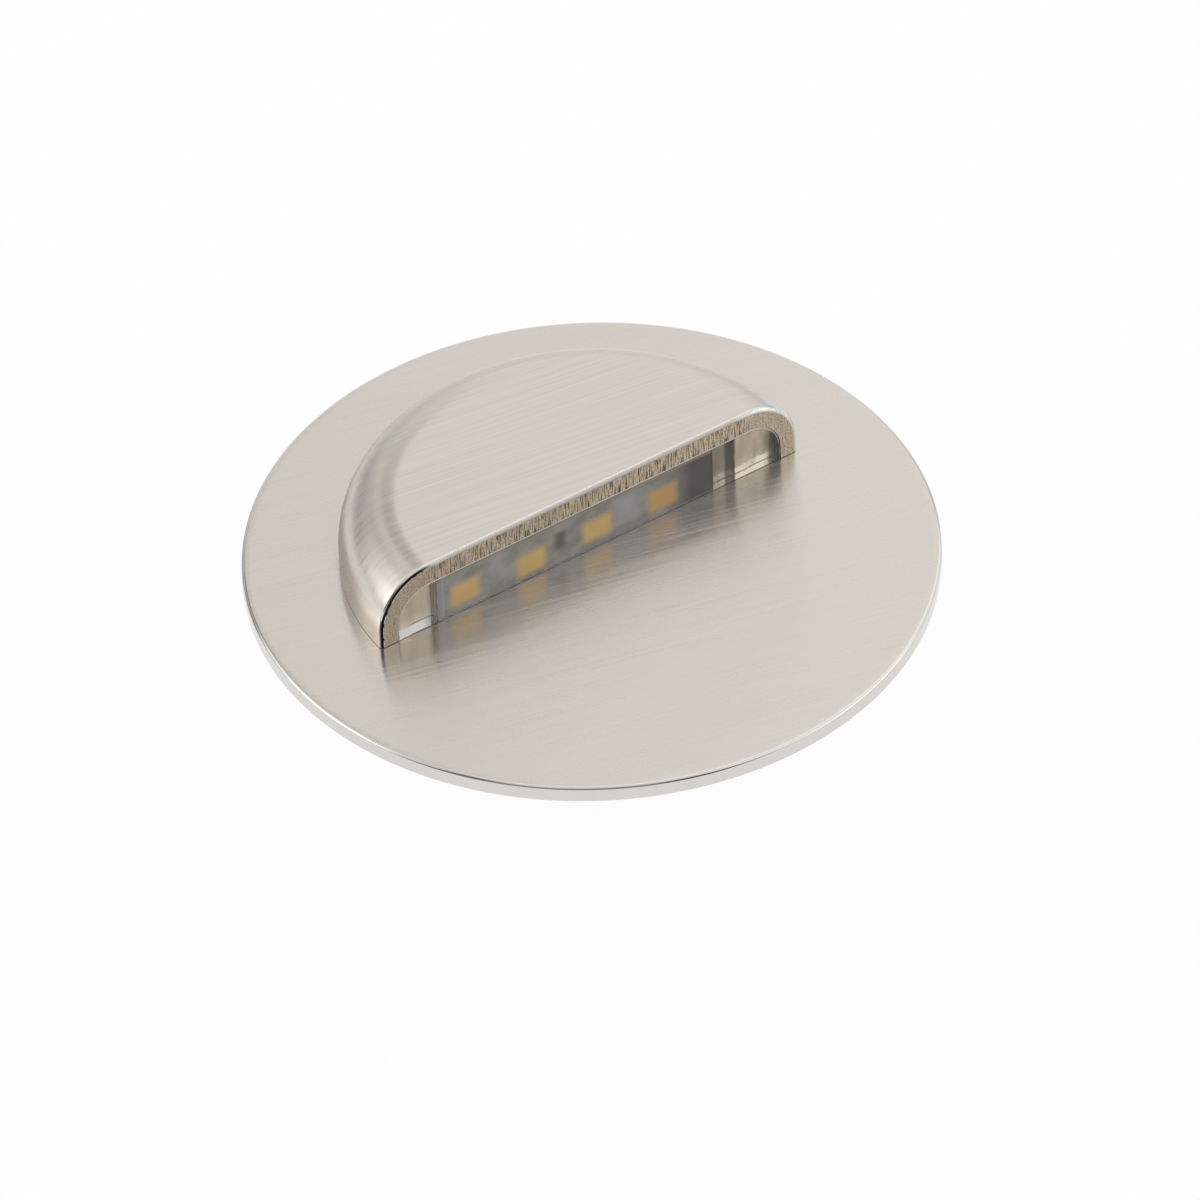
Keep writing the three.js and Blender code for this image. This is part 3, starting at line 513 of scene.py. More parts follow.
def sawn():
    """The cut face: close upright lines across it, sandy where the face turns down at its ends.
    A painted reflection makes it a little darker towards the left and at both arches.
    """
    made, n = material("sawn_steel")
    x, _, z = n.axes()
    drift = n.noise(n.millimetres((0.6, 0.6, 0.6)), 1.0, 1.0, 0.5)
    lean = n.times(n.math("SUBTRACT", drift, 0.65), n.math("SUBTRACT", z, 6.0))
    across = n.math("ADD", x, n.times(lean, 0.10))
    lines = n.add("ShaderNodeCombineXYZ", X=across, Y=0.0, Z=n.times(z, 0.06)).outputs[0]
    coarse = n.noise(lines, 6.2, 2.0, 0.7)
    fine = n.noise(lines, 12.0, 2.0, 0.7)
    sand = n.noise(n.millimetres(), 6.0, 4.0, 0.85)
    height = n.math("ADD", n.times(coarse, 0.6), n.times(fine, 0.4))
    out = n.math("ABSOLUTE", x)
    middle = n.ramp(out, 15.0, 17.5, 1.0, 0.3)
    dark = n.times(n.ramp(height, 0.43, 0.51, 0.95, 0.0), middle)
    # painted reflection: a little darker towards the left end and at both arches
    side = n.ramp(x, -19.0, 19.0)
    straight = n.mix(side, rgb(228, 214, 193), rgb(244, 231, 211))
    arches = n.mix(side, rgb(210, 198, 179), rgb(226, 215, 197))
    light = n.mix(n.ramp(out, 14.5, 17.5), straight, arches)
    light = n.mix(n.ramp(sand, 0.42, 0.54), n.mix(0.72, light, rgb(128, 118, 102)), light)
    base = n.mix(dark, light, rgb(96, 84, 68))
    rough = n.ramp(sand, 0.3, 0.7, 0.28, 0.44)
    relief = n.math("ADD", n.times(height, middle), n.times(sand, 0.25))
    surface(n, Base_Color=base, Metallic=1.0, Roughness=rough, Normal=n.bump(relief, 1.0, 0.09))
    return made


# Painted reflections in upright bands on the back wall:
# centre, half width, softness, how much darker
PAINTED_WALL_BANDS = (
    (14.95, 0.55, 0.12, 0.84),
    (13.8, 0.6, 0.15, 0.6),
    (-15.75, 0.1, 0.1, 0.4),
    (-16.35, 0.35, 0.2, -0.2),
    (19.7, 0.55, 0.3, 0.75),
    (-19.9, 0.4, 0.3, 0.3),
)


def wall_finish(name, colour, roughness, metallic):
    """The back wall with painted reflections in soft upright bands, painted shade along its foot,
    and a painted light wedge under a painted dark line at the left.
    """
    made, n = material(name)
    x, _, z = n.axes()
    sway = n.math("SUBTRACT", n.noise(n.millimetres((0.4, 0.4, 0.9)), 1.0, 1.0), 0.5)
    x = n.math("ADD", x, n.times(sway, 0.5))
    # painted highlight: a light wedge low down at the left end, under a painted dark line
    at_left = n.ramp(x, -15.95, -15.75, 1.0, 0.0)
    wedge = n.times(n.ramp(z, 2.86, 2.92, 1.0, 0.0), at_left)
    line = n.times(n.band(z, 2.97, 0.065, 0.025, 0.7), n.ramp(x, -19.0, -17.5))
    # painted light and shade: a dark line along the foot, lighter just above it, darker higher up
    tone = n.times(n.ramp(z, 2.9, 4.3, 1.08, 0.84), n.ramp(z, 2.42, 2.52, 0.35, 1.0))
    tone = n.times(tone, n.math("SUBTRACT", 1.0, n.times(line, at_left)))
    # painted reflections in upright bands
    for centre, half, soft, darker in PAINTED_WALL_BANDS:
        tone = n.times(tone, n.band(x, centre, half, soft, 1 - darker, 1.0))
    cloud = n.noise(n.millimetres((1.3, 1.3, 0.3)), 1.0, 2.0, 0.5)
    tone = n.times(tone, n.ramp(cloud, 0.3, 0.7, 0.9, 1.08))
    # a browner band, part of the painted reflections
    brown = n.band(x, 13.3, 0.6, 0.2)
    base = n.shaded(n.mix(brown, colour, rgb(200, 186, 160)), tone)
    base = n.mix(wedge, base, rgb(246, 244, 240))
    wave = n.bump(n.noise(n.millimetres((0.7, 0.7, 0.4)), 1.0, 1.0), 1.0, 0.1)
    surface(n, Base_Color=base, Metallic=metallic, Roughness=roughness, Normal=wave)
    return made


def clear_resin():
    """Clear resin that lets the studio's light through."""
    made, n = material("clear_resin")
    wave = n.noise(n.millimetres(), 0.8, 2.0, 0.5)
    glass = n.add("ShaderNodeBsdfPrincipled", Base_Color=(1, 1, 1, 1), Roughness=0.02, IOR=1.49,
                  Transmission_Weight=1.0, Normal=n.bump(wave, 0.3, 0.01))
    clear = n.add("ShaderNodeBsdfTransparent", Color=(1, 1, 1, 1))
    path = n.add("ShaderNodeLightPath")
    mixed = n.add("ShaderNodeMixShader", i0=path.outputs["Is Shadow Ray"], i1=glass.outputs[0],
                  i2=clear.outputs[0])
    n.add("ShaderNodeOutputMaterial", Surface=mixed.outputs[0])
    return made


def frosted():
    """The frosted cover with what shows through it, all soft: amber windows, a chip, the board.
    A painted dark reflection covers its right end; at its left edge lie a painted bluish
    reflection and a painted highlight.
    """
    made, n = material("frosted_cover")
    x, _, z = n.axes()

    def patch(centre, height, half_width, half_height, soft):
        return n.times(n.band(x, centre, half_width, soft), n.band(z, height, half_height, soft))

    cloud = n.noise(n.millimetres((0.45, 0.45, 0.7)), 1.0, 3.0, 0.55)
    clouded = n.ramp(cloud, 0.35, 0.65)
    grey = n.mix(clouded, rgb(154, 150, 140), rgb(184, 181, 175))
    for centre, amount in ((-9.4, 0.5), (3.9, 0.8), (9.4, 0.25)):
        pale = n.times(patch(centre, 5.2, 1.2, 1.4, 1.0), amount)
        grey = n.mix(pale, grey, rgb(196, 200, 202))
    # painted dark reflection over the right end
    dark_reflection = n.ramp(x, 7.5, 11.0)
    grey = n.mix(dark_reflection, grey, rgb(12, 11, 9))
    # painted highlight along the eased left edge, and a painted bluish reflection in a band left of
    # it
    light_line = n.ramp(x, -15.04, -14.92, 1.0, 0.0)
    grey = n.mix(light_line, grey, rgb(200, 195, 186))
    left_edge = n.ramp(x, -15.20, -15.12, 1.0, 0.0)
    grey = n.mix(left_edge, grey, rgb(172, 175, 178))
    chip = patch(-3.0, 4.9, 0.55, 1.0, 0.4)
    grey = n.mix(chip, grey, rgb(92, 90, 86))
    chip_end = n.times(patch(-3.0, 6.2, 0.4, 0.3, 0.3), 0.8)
    grey = n.mix(chip_end, grey, rgb(196, 184, 168))
    top_edge = n.ramp(z, 6.45, 6.8, 0.0, 0.75)
    grey = n.mix(top_edge, grey, rgb(176, 160, 138))
    glow = None
    for centre, drop in zip(LED_PLACES, (0.15, 0.42, 0.15, 0.2)):
        spot = patch(centre, LED_HEIGHT - drop, 1.45, 1.15, 0.5)
        glow = spot if glow is None else n.math("MAXIMUM", glow, spot)
    amber = n.mix(n.ramp(x, 3.0, 9.0), rgb(255, 216, 118), rgb(236, 180, 92))
    amber = n.mix(n.times(clouded, 0.35), amber, rgb(250, 196, 110))
    surface(n, Base_Color=n.mix(glow, grey, amber), Roughness=0.45, Specular_IOR_Level=0.1)
    return made


plate_steel = brushed("plate_steel", rgb(213, 206, 199), -14, tone=0.014, streak=0.17)
hood_steel = brushed("hood_steel", rgb(212, 204, 196), -8.5, tone=0.031, streak=0.14, wrap=True)
rim_steel = plain("rim_steel", rgb(215, 211, 206), 0.12, 1.0, grain=3.0, depth=0.001, tone=0.02)
inner_steel = plain("inner_steel", rgb(170, 160, 146), 0.35, 1.0, grain=5.0, depth=0.006)
clip_steel = plain("clip_steel", rgb(196, 196, 196), 0.28, 1.0, grain=9.0, depth=0.003, tone=0.04)
wire_steel = plain("wire_steel", rgb(188, 189, 191), 0.22, 1.0, grain=12.0, depth=0.002,
                   tone=0.04)
screw_steel = plain("screw_steel", rgb(198, 197, 195), 0.2, 1.0, grain=10.0, depth=0.002,
                    tone=0.04)
cast_metal = plain("cast_metal", rgb(158, 160, 163), 0.42, 1.0, grain=11.0, depth=0.02, tone=0.06)
black_nylon = plain("black_nylon", rgb(43, 44, 47), 0.5, grain=14.0, depth=0.012, tone=0.1)
black_rubber = plain("black_rubber", rgb(33, 33, 34), 0.78, grain=9.0, depth=0.02, tone=0.12)
edge_steel = rounded_edge()
sawn_steel = sawn()
wall_steel = wall_finish("wall_steel", rgb(208, 197, 182), 0.16, 1.0)
wall_potting = wall_finish("wall_potting", rgb(245, 232, 212), 0.3, 0.6)
window_resin = clear_resin()
window_edge = plain("window_edge", rgb(238, 236, 232), 0.35, grain=7, depth=0.01, tone=0.12)
frost = frosted()

# ---------------------------------------------------------------- face plate and gasket


def plate_finish(face):
    """Brushed on top, polished round the rim and below."""
    return 0 if face.normal.z > FLAT else 1


disc = [(0, PLATE_LOW), (PLATE_RADIUS - 0.4, PLATE_LOW)]
disc += arc((PLATE_RADIUS - PLATE_LOWER_ROUND, PLATE_LOW + PLATE_LOWER_ROUND),
            PLATE_LOWER_ROUND, -90, 0, 4)
disc += arc((PLATE_RADIUS - PLATE_UPPER_ROUND, PLATE_TOP - PLATE_UPPER_ROUND),
            PLATE_UPPER_ROUND, 0, 90, 8)
disc += [(PLATE_RADIUS - 0.8, PLATE_TOP), (0, PLATE_TOP)]
place(lathe(disc, 288), "plate", "root", [plate_steel, rim_steel], "face_plate",
      pick=plate_finish)

gasket = lathe([
    (GASKET_BORE, 0), (GASKET_RADIUS - GASKET_EDGE, 0), (GASKET_RADIUS, GASKET_EDGE),
    (GASKET_RADIUS, GASKET_TOP - GASKET_EDGE), (GASKET_RADIUS - GASKET_EDGE, GASKET_TOP),
    (GASKET_BORE, GASKET_TOP),
], 192, closed=True)
place(gasket, "gasket", "root", [black_rubber], "flange_gasket")

# ---------------------------------------------------------------- hood


def half_puck():
    """The outside of the hood: half of a puck, rounded where its cut face meets the outside."""
    low, top, radius, shoulder = HOOD_BASE, HOOD_TOP, HOOD_RADIUS, HOOD_SHOULDER
    round_steps, sweep_steps = 8, 150

    # The outline of the cut face, each point with the direction in which the outside looks there
    side = [((radius, low), (1, 0)), ((radius, low + 0.9), (1, 0))]
    for point in arc((radius - shoulder, top - shoulder), shoulder, 0, 90, 22):
        side.append((point, ((point[0] - radius + shoulder) / shoulder,
                             (point[1] - top + shoulder) / shoulder)))
    across = [(((radius - shoulder) * (1 - i / 10), top), (0, 1)) for i in range(1, 20)]
    left = [((-p[0], p[1]), (-v[0], v[1])) for p, v in reversed(side)]
    chain = side + across + left

    # The rounding, from the cut face to the outside
    points, rows = [], []
    for j in range(round_steps + 1):
        a = math.radians(90 * (1 - j / round_steps))
        back = HOOD_ROUND * (1 - math.cos(a))
        rows.append(range(len(points), len(points) + len(chain)))
        for (x, z), (nx, nz) in chain:
            points.append((x - back * nx, HOOD_ROUND * (1 - math.sin(a)), z - back * nz))
    faces = [
        [rows[j][k], rows[j][k + 1], rows[j + 1][k + 1], rows[j + 1][k]]
        for j in range(round_steps) for k in range(len(chain) - 1)
    ]

    # The outside, swept round Z from the right end of the last row to its left end
    last = rows[-1]
    shells = []
    for k, ((reach, height), _) in enumerate(side):
        start = math.asin(HOOD_ROUND / reach)
        shell = [last[k]]
        for i in range(1, sweep_steps):
            a = start + (math.pi - 2 * start) * i / sweep_steps
            shell.append(len(points))
            points.append((reach * math.cos(a), reach * math.sin(a), height))
        shell.append(last[len(chain) - 1 - k])
        shells.append(shell)
    for lower, upper in zip(shells, shells[1:]):
        faces += [[lower[i], lower[i + 1], upper[i + 1], upper[i]] for i in range(sweep_steps)]

    # The flat top, the foot and the cut face
    faces.append(shells[-1] + list(last[len(side):len(side) + len(across)])[::-1])
    faces.append([rows[j][0] for j in range(round_steps + 1)] + shells[0][1:-1]
                 + [rows[j][-1] for j in range(round_steps, -1, -1)])
    faces.append(list(rows[0]))
    return mesh_object("part", points, faces)


def hood_finish(face):
    """Sawn on the cut face, bright on its rounding, dull inside and brushed outside."""
    centre, normal = face.center / MM, face.normal
    inside = math.hypot(centre.x, centre.y) < MOUTH_RADIUS + 0.01 and centre.z < MOUTH_TOP + 0.01
    if normal.y < -FLAT and centre.y < 0.01:
        return 1
    if inside and centre.y > 0.05:
        return 3
    if normal.y < -0.12 and centre.y < HOOD_ROUND + 0.01:
        return 2
    return 0


# The two outer screws also go through the feet of the back wall, which lie under their bosses
screw_places = on_circle(SCREW_CIRCLE, SCREW_DEGREES)
footed = screw_places[:2]

hood = half_puck()
cut(hood, puck(MOUTH_RADIUS, HOOD_BASE - PAST, MOUTH_TOP, MOUTH_SHOULDER))
foot_room = HOOD_BASE + CONTACT + FOOT_THICKNESS
join(hood, *[rod(BOSS_RADIUS, foot_room if (x, y) in footed else HOOD_BASE, MOUTH_TOP + PAST,
                 BOSS_SIDES, x, y) for x, y in screw_places])
cut(hood, *[rod(SCREW_HOLE, HOOD_BASE - PAST, HOOD_TOP - HOLE_SKIN, HOLE_SIDES, x, y)
            for x, y in screw_places])
place(hood, "hood_shell", "root",
      [hood_steel, sawn_steel, edge_steel, inner_steel], "hood", pick=hood_finish)

# ---------------------------------------------------------------- light engine


def mouth_outline(grow):
    """The outline of the window, grown by some amount, as (x, z)."""
    shoulder = MOUTH_SHOULDER - CLOSE_FIT + grow
    turn = arc((MOUTH_RADIUS - MOUTH_SHOULDER, MOUTH_TOP - MOUTH_SHOULDER), shoulder, 0, 90, 14)
    side = turn[0][0]
    return [(-side, 0), (side, 0)] + turn + [(-x, z) for x, z in reversed(turn)]


def window_finish(face):
    """Clear, with a pale front edge; its back is potted against the wall beside the strip."""
    x, y = face.center.x / MM, face.center.y / MM
    normal = face.normal
    if -0.95 < normal.y < -0.3 and y < 0.16:
        return 3
    if x < LEFT and (normal.y > 0.5 and y > 0.3 or normal.x > 0.9 and x > LEFT - 0.1):
        return 2
    if x > RIGHT + CONTACT and normal.y > 0.5 and y > 0.9:
        return 1
    return 0


window = puck(MOUTH_RADIUS - CLOSE_FIT, HOOD_BASE, MOUTH_TOP - CLOSE_FIT,
              MOUTH_SHOULDER - CLOSE_FIT)
combine(window, [loft([(y, mouth_outline(grow)) for y, grow in WINDOW_FRONT])], "INTERSECT")
wavy_back = [
    (-FAR, 1.05), (-19, 1.02), (-18, 1.12), (-17, 1.16), (-16.15, 1.04), (-15.95, 0.8),
    (-15.76, 0.42), (-15.6, 0.36), (-15.2, 0.6), (-14.8, WINDOW_BACK), (14.6, WINDOW_BACK),
    (15.2, 1.36), (16.2, 1.3), (17.2, 1.38), (18, WINDOW_BACK), (18.8, WINDOW_BACK),
    (19.4, 1.25), (FAR, 1.1),
]
cut(window, prism(wavy_back + [(FAR, FAR), (-FAR, FAR)], 0, HIGH, "Z"))
cut(window, box(LEFT - CONTACT, RIGHT + CONTACT, COVER_FRONT - CONTACT, 3, LOW - PAST,
                TOP + CONTACT))
place(window, "mouth_window", "root",
      [window_resin, wall_steel, wall_potting, window_edge], "window", pick=window_finish)

cover = box(LEFT, RIGHT, COVER_FRONT, WINDOW_BACK, LOW, TOP)
cut(cover, box(*COVER_HOLLOW))
ease(cover, 0.05)
place(cover, "frosted_cover", "root", [frost], "diffuser")

wall = puck(MOUTH_RADIUS - FIT, HOOD_BASE, MOUTH_TOP - FIT, MOUTH_SHOULDER - FIT)
cut(wall, box(-FAR, FAR, -FAR, CARRIER_FRONT, 0, HIGH), box(-FAR, FAR, CARRIER_BACK, FAR, 0, HIGH))
join(wall, *[box(x - FOOT_HALF, x + FOOT_HALF, CARRIER_FRONT + 0.1, y + FOOT_HALF, HOOD_BASE,
                 HOOD_BASE + FOOT_THICKNESS) for x, y in footed])
cut(wall, *[rod(SCREW_HOLE, *FOOT_HOLE, 32, x, y) for x, y in footed])
ease(wall, 0.06)
place(wall, "back_wall", "root", [wall_steel], "led_carrier")

# ---------------------------------------------------------------- barrel, cap and gland

cap_screws = on_circle(CAP_SCREW_CIRCLE, CAP_SCREW_DEGREES)
ear_start = ARM_HALF + ARM_GAP
ear_end = ear_start + EAR_THICKNESS

barrel = lathe([
    (0, BARREL_CEILING), (UPPER_BORE, BARREL_CEILING), (UPPER_BORE, LEDGE), (LOWER_BORE, LEDGE),
    (LOWER_BORE, BARREL_BOTTOM), (BARREL_RADIUS, BARREL_BOTTOM), (BARREL_RADIUS, BARREL_TOP),
    (0, BARREL_TOP),
], 192)
for way in (-1, 1):
    xs = sorted((way * (PIVOT_X - POCKET_DEPTH), way * (BARREL_RADIUS + PAST)))
    cut(barrel, box(*xs, -ear_start, ear_start, BARREL_BOTTOM - PAST, PIVOT_Z + POCKET_HEIGHT))
for way in (-1, 1):
    xs = sorted((way * EAR_FOOT, way * PIVOT_X))
    for end in (-1, 1):
        ys = sorted((end * ear_start, end * ear_end))
        join(barrel, box(*xs, *ys, PIVOT_Z - EAR_RADIUS, PIVOT_Z + EAR_RADIUS),
             cross_rod(EAR_RADIUS, way * PIVOT_X, PIVOT_Z, *ys))
cut(barrel, *[cross_rod(EAR_HOLE, way * PIVOT_X, PIVOT_Z, -ACROSS, ACROSS, 32)
              for way in (-1, 1)])
cut(barrel, *[rod(SCREW_HOLE, -2, 2, HOLE_SIDES, x, y) for x, y in screw_places],
    *[rod(CAP_SCREW_HOLE, BARREL_BOTTOM - PAST, CAP_SCREW_HOLE_TOP, HOLE_SIDES, x, y)
      for x, y in cap_screws])
ease(barrel, 0.12)
place(barrel, "barrel_body", "root", [cast_metal], "barrel")

cap = lathe([
    (CAP_BORE, CAP_BOTTOM), (CAP_RADIUS - 0.3, CAP_BOTTOM), (CAP_RADIUS - 0.1, CAP_BOTTOM + 0.1),
    (CAP_RADIUS, CAP_BOTTOM + 0.3), (CAP_RADIUS, CAP_TOP), (SPIGOT_RADIUS, CAP_TOP),
    (SPIGOT_RADIUS, SPIGOT_TOP), (SPIGOT_BORE, SPIGOT_TOP), (SPIGOT_BORE, CAP_TOP),
    (CAP_BORE, CAP_TOP),
], 192, closed=True)
for x, y in cap_screws:
    sink = lathe([
        (0, CAP_BOTTOM - PAST), (SINK_RADIUS, CAP_BOTTOM - PAST), (SINK_RADIUS, CAP_BOTTOM),
        (CAP_SCREW_HOLE, CAP_BOTTOM + SINK_DEPTH), (CAP_SCREW_HOLE, CAP_TOP + PAST),
        (0, CAP_TOP + PAST),
    ], 48)
    sink.data.transform(Matrix.Translation((x, y, 0)))
    cut(cap, sink)
ease(cap, 0.08)
place(cap, "cap", "root", [black_nylon], "rear_cap")

seal = lathe([
    (SEAL_BORE, SEAL_LOW), (CAP_RADIUS - 0.05, SEAL_LOW), (CAP_RADIUS, SEAL_LOW + 0.08),
    (CAP_RADIUS, SEAL_TOP - 0.08), (CAP_RADIUS - 0.05, SEAL_TOP), (SEAL_BORE, SEAL_TOP),
], 160, closed=True)
cut(seal, *[rod(CAP_SCREW_HOLE, SEAL_LOW - PAST, SEAL_TOP + PAST, HOLE_SIDES, x, y)
            for x, y in cap_screws])
place(seal, "cap_gasket", "root", [black_rubber], "cap_seal")

for index, (x, y) in enumerate(cap_screws):
    low = CAP_BOTTOM + CONTACT
    screw = lathe([
        (0, low), (SCREW_HEAD, low), (SCREW_SHANK, low + 0.8),
        (SCREW_SHANK, low + SCREW_LENGTH - 0.25), (SCREW_SHANK - 0.25, low + SCREW_LENGTH),
        (0, low + SCREW_LENGTH),
    ], 40)
    cross = [(CROSS_HALF, CROSS_WIDTH), (CROSS_WIDTH, CROSS_HALF)]
    cut(screw, join(*[box(-a, a, -b, b, low - PAST, low + CROSS_DEPTH) for a, b in cross]))
    ease(screw, 0.04)
    turned = Matrix.Rotation(0.5 + index * 1.1, 4, "Z")
    screw.data.transform(Matrix.Translation((x, y, 0)) @ turned)
    place(screw, f"cap_bolt_{index + 1}", "root", [screw_steel],
          f"cap_screw_{index + 1}")

gland = join(hexagon(GLAND_HEX, FLANGE_BOTTOM, FLANGE_TOP),
             rod(GLAND_NECK, STUB_BOTTOM, GLAND_NECK_TOP, 96))
cut(gland, rod(GLAND_BORE, GLAND_BELOW, GLAND_ABOVE, 96),
    rod(GLAND_POCKET, GLAND_BELOW, FLANGE_BOTTOM, 96))
ease(gland, 0.12)
place(gland, "gland_flange", "root", [black_nylon], "gland_body")

corner = GLAND_HEX / 2 / math.cos(math.pi / 6)
nut = hexagon(GLAND_HEX, NUT_BOTTOM, NUT_TOP)
dome = lathe([
    (0, NUT_BOTTOM - 0.001), (corner - 1.0, NUT_BOTTOM - 0.001), (corner - 0.3, NUT_BOTTOM + 0.45),
    (corner + 0.05, NUT_BOTTOM + 1.1), (corner + 0.05, NUT_TOP - 0.25),
    (corner - 0.3, NUT_TOP + 0.001), (0, NUT_TOP + 0.001),
], 96)
combine(nut, [dome], "INTERSECT")
cut(nut, rod(NUT_POCKET, SKIRT_BOTTOM, NUT_TOP + PAST, 96),
    rod(GLAND_BORE, NUT_BOTTOM - PAST, NUT_TOP + PAST, 96))
ease(nut, 0.12)
place(nut, "gland_cap", "root", [black_nylon], "gland_nut")

gland_ring = lathe([
    (GLAND_BORE, GLAND_RING_LOW), (GLAND_RING_RADIUS, GLAND_RING_LOW),
    (GLAND_RING_RADIUS, GLAND_RING_TOP), (GLAND_BORE, GLAND_RING_TOP),
], 96, closed=True)
place(gland_ring, "gland_ring", "root", [black_rubber], "gland_seal")

# ---------------------------------------------------------------- clips


def clip_side(obj, side):
    """Moves a shape made round the origin to the pivot of its side."""
    move = Matrix.Translation((PIVOT_X, 0, PIVOT_Z))
    obj.data.transform(Matrix.Rotation(math.pi, 4, "Z") @ move if side == "left" else move)
    return obj


def clip_arm():
    """The forked arm of a clip, made round its pivot, with teeth along its outer edge."""
    reach = ARM_FLANK + ARM_LEAN
    slope = math.hypot(reach, ARM_HEIGHT)
    inward = (-ARM_HEIGHT / slope, reach / slope)
    step = TOOTH_PITCH / slope
    teeth = []
    for tooth in range(TOOTH_COUNT):
        start = 1 - (TOOTH_COUNT - tooth) * step
        for share, push in ((start, TOOTH_DEPTH), (start + step, 0)):
            teeth.append((ARM_FLANK + share * ARM_LEAN + push * inward[0],
                          share * ARM_HEIGHT + push * inward[1]))
    outline = [(-ARM_FLANK, 0), (ARM_FLANK, 0)] + teeth + [(ARM_TIP, ARM_HEIGHT)]
    arm = prism(outline, -ARM_HALF, ARM_HALF)
    heel = prism([(-HEEL_RADIUS, 0), (-HEEL_RADIUS, -HEEL_DEPTH), (0, -HEEL_DEPTH), (0, 0)],
                 -ARM_HALF, ARM_HALF)
    join(arm, cross_rod(HEEL_RADIUS, 0, 0, -ARM_HALF, ARM_HALF, 56), heel)
    cut(arm, box(*FORK_GAP), cross_rod(ARM_HOLE, 0, 0, -ACROSS, ACROSS, 32))
    return ease(arm, 0.12)


def spring_path():
    """A coil round the pivot, with one leg up the barrel and a longer one up the arm."""
    half = COIL_PITCH * COIL_TURNS / 2
    per_turn = 24
    steps = int(COIL_TURNS * per_turn)
    path = [Vector((-COIL_RADIUS, -half, z)) for z in FIXED_LEG]
    for step in range(steps + 1):
        turn = math.pi + TURN * step / per_turn
        path.append(Vector((COIL_RADIUS * math.cos(turn), -half + 2 * half * step / steps,
                            COIL_RADIUS * math.sin(turn))))
    return path + [Vector((COIL_RADIUS, half, z)) for z in MOVING_LEG]


for side, way in (("right", 1), ("left", -1)):
    arm = clip_side(clip_arm(), side)
    place(arm, f"clip_{side}", f"{side}_clip", [clip_steel], f"clip_arm_{side}")
    reach = ear_end + PIN_PROUD
    pin = clip_side(ease(cross_rod(PIN_RADIUS, 0, 0, -reach, reach, 40), 0.1), side)
    place(pin, f"pin_{side}", "root", [screw_steel], f"clip_pin_{side}")
    wire = clip_side(ease(tube(spring_path(), WIRE_RADIUS), 0.06), side)
    place(wire, f"spring_{side}", None, [wire_steel], f"clip_spring_{side}")
    end = (way * (PIVOT_X + TWIST_REACH) * MM, 0, PIVOT_Z * MM)
    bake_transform(wire)

# ---------------------------------------------------------------- finish of the nodes that stay

ceramic = plain("white_ceramic", rgb(226, 221, 210), 0.45, grain=12, depth=0.004, tone=0.03)
phosphor = plain("phosphor", rgb(222, 172, 84), 0.5, grain=16, depth=0.006, tone=0.06)
strip_board = plain("strip_board", rgb(190, 188, 180), 0.5, grain=5, depth=0.004, tone=0.04)
dark_chip = plain("dark_chip", rgb(60, 58, 56), 0.5, grain=14, depth=0.004)
ferrite = plain("ferrite", rgb(58, 58, 60), 0.65, grain=16, depth=0.01)
epoxy = plain("epoxy", rgb(36, 37, 39), 0.5, grain=18, depth=0.004)
circuit = plain("circuit", rgb(32, 88, 58), 0.4, grain=4, depth=0.004, tone=0.12)
terminal = plain("terminal", rgb(52, 128, 80), 0.45, grain=10, depth=0.006)
red_sheath = plain("red_sheath", rgb(176, 42, 34), 0.45, grain=10, depth=0.004)
black_sheath = plain("black_sheath", rgb(30, 30, 32), 0.45, grain=10, depth=0.004)

kept = {
    "led_board": strip_board,
    "resistor": dark_chip,
    "lead_red": red_sheath,
    "lead_black": black_sheath,
    "wire_grommet": black_rubber,
    "driver_board": circuit,
    "inductor": ferrite,
    "capacitor": cast_metal,
    "driver_chip": epoxy,
    "rectifier": epoxy,
    "input_terminal": terminal,
    "gland_locknut": black_nylon,
}
for number in range(1, 5):
    kept[f"led_{number}"] = ceramic
    kept[f"led_phosphor_{number}"] = phosphor
for number in range(1, 4):
    kept[f"hood_screw_{number}"] = screw_steel
for name, finish in kept.items():
    cad[name].data.materials.clear()
    cad[name].data.materials.append(finish)

# ---------------------------------------------------------------- floor, light and camera


def white_floor():
    """A pale floor that keeps the object's shadow, white to the camera and in reflections."""
    made, n = material("floor")
    path = n.add("ShaderNodeLightPath").outputs
    mirrored = n.math("MAXIMUM", path["Is Glossy Ray"], path["Is Transmission Ray"])
    seen = n.math("MAXIMUM", path["Is Camera Ray"], mirrored)
    white = n.add("ShaderNodeEmission", Color=(1, 1, 1, 1), Strength=1.0)
    matt = n.add("ShaderNodeBsdfDiffuse", Color=(0.9, 0.9, 0.9, 1))
    mixed = n.add("ShaderNodeMixShader", i0=n.times(seen, 0.96), i1=matt.outputs[0],
                  i2=white.outputs[0])
    n.add("ShaderNodeOutputMaterial", Surface=mixed.outputs[0])
    return made


floor = mesh_object("floor", [(-3, -3, 0), (3, -3, 0), (3, 3, 0), (-3, 3, 0)], [[0, 1, 2, 3]])
floor.location.z = (NUT_BOTTOM - 0.02) * MM
floor.data.materials.append(white_floor())
floor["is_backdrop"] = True


def direction(azimuth, elevation):
    a, e = math.radians(azimuth), math.radians(elevation)
    return (math.cos(a) * math.cos(e), math.sin(a) * math.cos(e), math.sin(e))


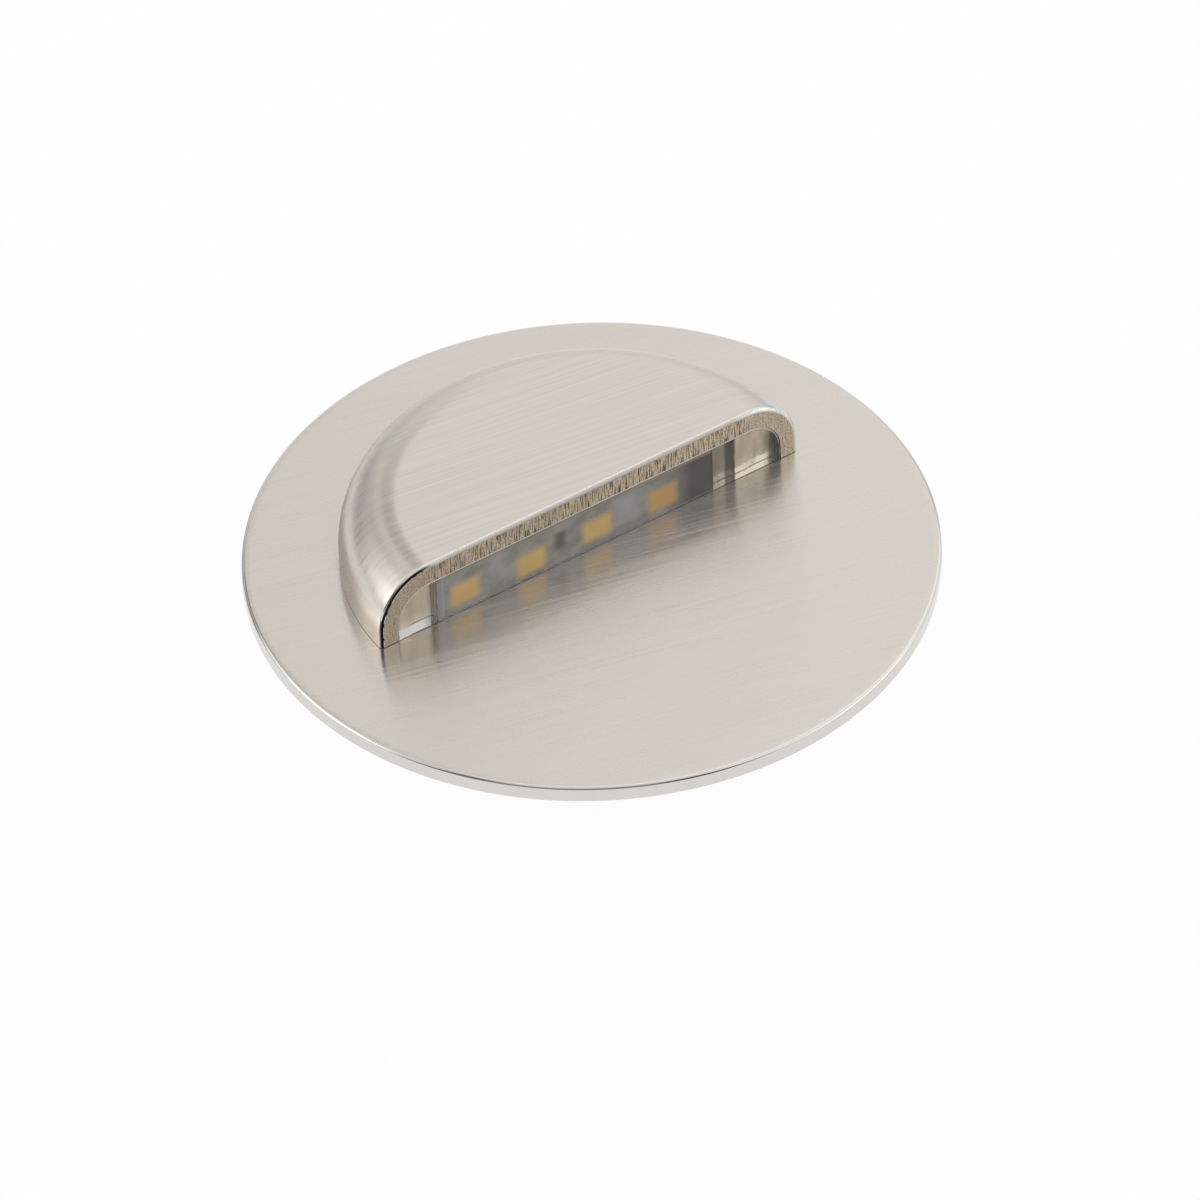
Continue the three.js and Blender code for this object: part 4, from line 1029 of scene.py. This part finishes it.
# Soft fields of the studio: azimuth from X, elevation, the cosine of the angle from its middle at
# which each starts and at which it is full, and how much light it adds or takes
STUDIO = (
    (69, -10, 0.511, 0.639, -0.52),
    (61, 12, 0.814, 1.000, 0.36),
    (78, 50, 0.946, 1.000, -0.49),
    (147, 33, 0.813, 0.892, 0.70),
    (159, 19, 0.563, 0.792, -0.70),
    (94, -6, 0.920, 0.988, -0.47),
    (100, 10, 0.910, 0.968, 0.26),
    (46, 44, 0.741, 0.849, 0.35),
    (138, 27, 0.880, 0.959, 0.39),
    (155, 15, 0.913, 0.956, 0.70),
    (75, 46, 0.978, 0.996, -0.18),
    (98, 50, 0.975, 0.995, 0.10),
    (-116, 22, 0.790, 0.900, -0.55),
    (-88, 14, 0.940, 0.978, -0.50),
    (-38, 8, 0.870, 0.970, 0.40),
    (-58, 40, 0.900, 0.970, 0.30),
    (-25, 27, 0.940, 0.985, 0.40),
    (0, 5, 0.850, 0.960, 0.10),
)


def studio():
    """A soft sky with light and dark fields, white where the camera looks straight at it."""
    world = bpy.data.worlds.new("studio")
    bpy.context.scene.world = world
    world.use_nodes = True
    world.node_tree.nodes.clear()
    n = Nodes(world.node_tree)
    where = n.add("ShaderNodeTexCoord").outputs["Generated"]
    level = n.axes(where)[2]
    total = n.ramp(level, 0.0, 0.6, 0.908, 0.872)
    for azimuth, elevation, start, full, amount in STUDIO:
        along = n.add("ShaderNodeVectorMath", {"operation": "DOT_PRODUCT"}, i0=where,
                      i1=direction(azimuth, elevation)).outputs["Value"]
        total = n.math("ADD", total, n.ramp(along, start, full, 0.0, amount))
    cool = n.mix(n.ramp(level, 0.0, 0.5), (0.93, 0.97, 1.0, 1), (1.0, 1.0, 1.0, 1))
    lit = n.add("ShaderNodeBackground", Color=cool, Strength=n.math("MAXIMUM", total, 0.02))
    white = n.add("ShaderNodeBackground", Color=(1, 1, 1, 1), Strength=1.0)
    path = n.add("ShaderNodeLightPath")
    mixed = n.add("ShaderNodeMixShader", i0=path.outputs["Is Camera Ray"], i1=lit.outputs[0],
                  i2=white.outputs[0])
    n.add("ShaderNodeOutputWorld", Surface=mixed.outputs[0])


def camera():
    """The camera that fits the photograph: 330 mm lens, 942 mm from the face.

    The middle of the face lies off the middle of the view, so the camera is moved across its view
    by that offset, given in pixels with a focal length in pixels.
    """
    data = bpy.data.cameras.new("camera")
    data.sensor_width, data.lens = 36, 330
    data.clip_start, data.clip_end = 0.05, 20
    cam = bpy.data.objects.new("camera", data)
    bpy.context.scene.collection.objects.link(cam)
    azimuth, elevation, roll = (math.radians(v) for v in (-32.9858, 42.0501, -2.1867))
    offset_x, offset_y, focal, distance = -8.1964, -37.5611, 11000, 942.446
    back = Vector((math.sin(azimuth) * math.cos(elevation),
                   -math.cos(azimuth) * math.cos(elevation), math.sin(elevation)))
    level = Vector((math.cos(azimuth), math.sin(azimuth), 0))
    up = back.cross(level)
    across = math.cos(roll) * level + math.sin(roll) * up
    upward = -math.sin(roll) * level + math.cos(roll) * up
    at = (across * (-offset_x * distance / focal) + upward * (offset_y * distance / focal)
          + back * distance)
    at.z += PLATE_LOW
    facing = Matrix((across, upward, back)).transposed().to_4x4()
    cam.matrix_world = Matrix.Translation(at * MM) @ facing
    bpy.context.scene.camera = cam


studio()
camera()
bpy.context.scene.view_settings.view_transform = "Standard"

low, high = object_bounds()
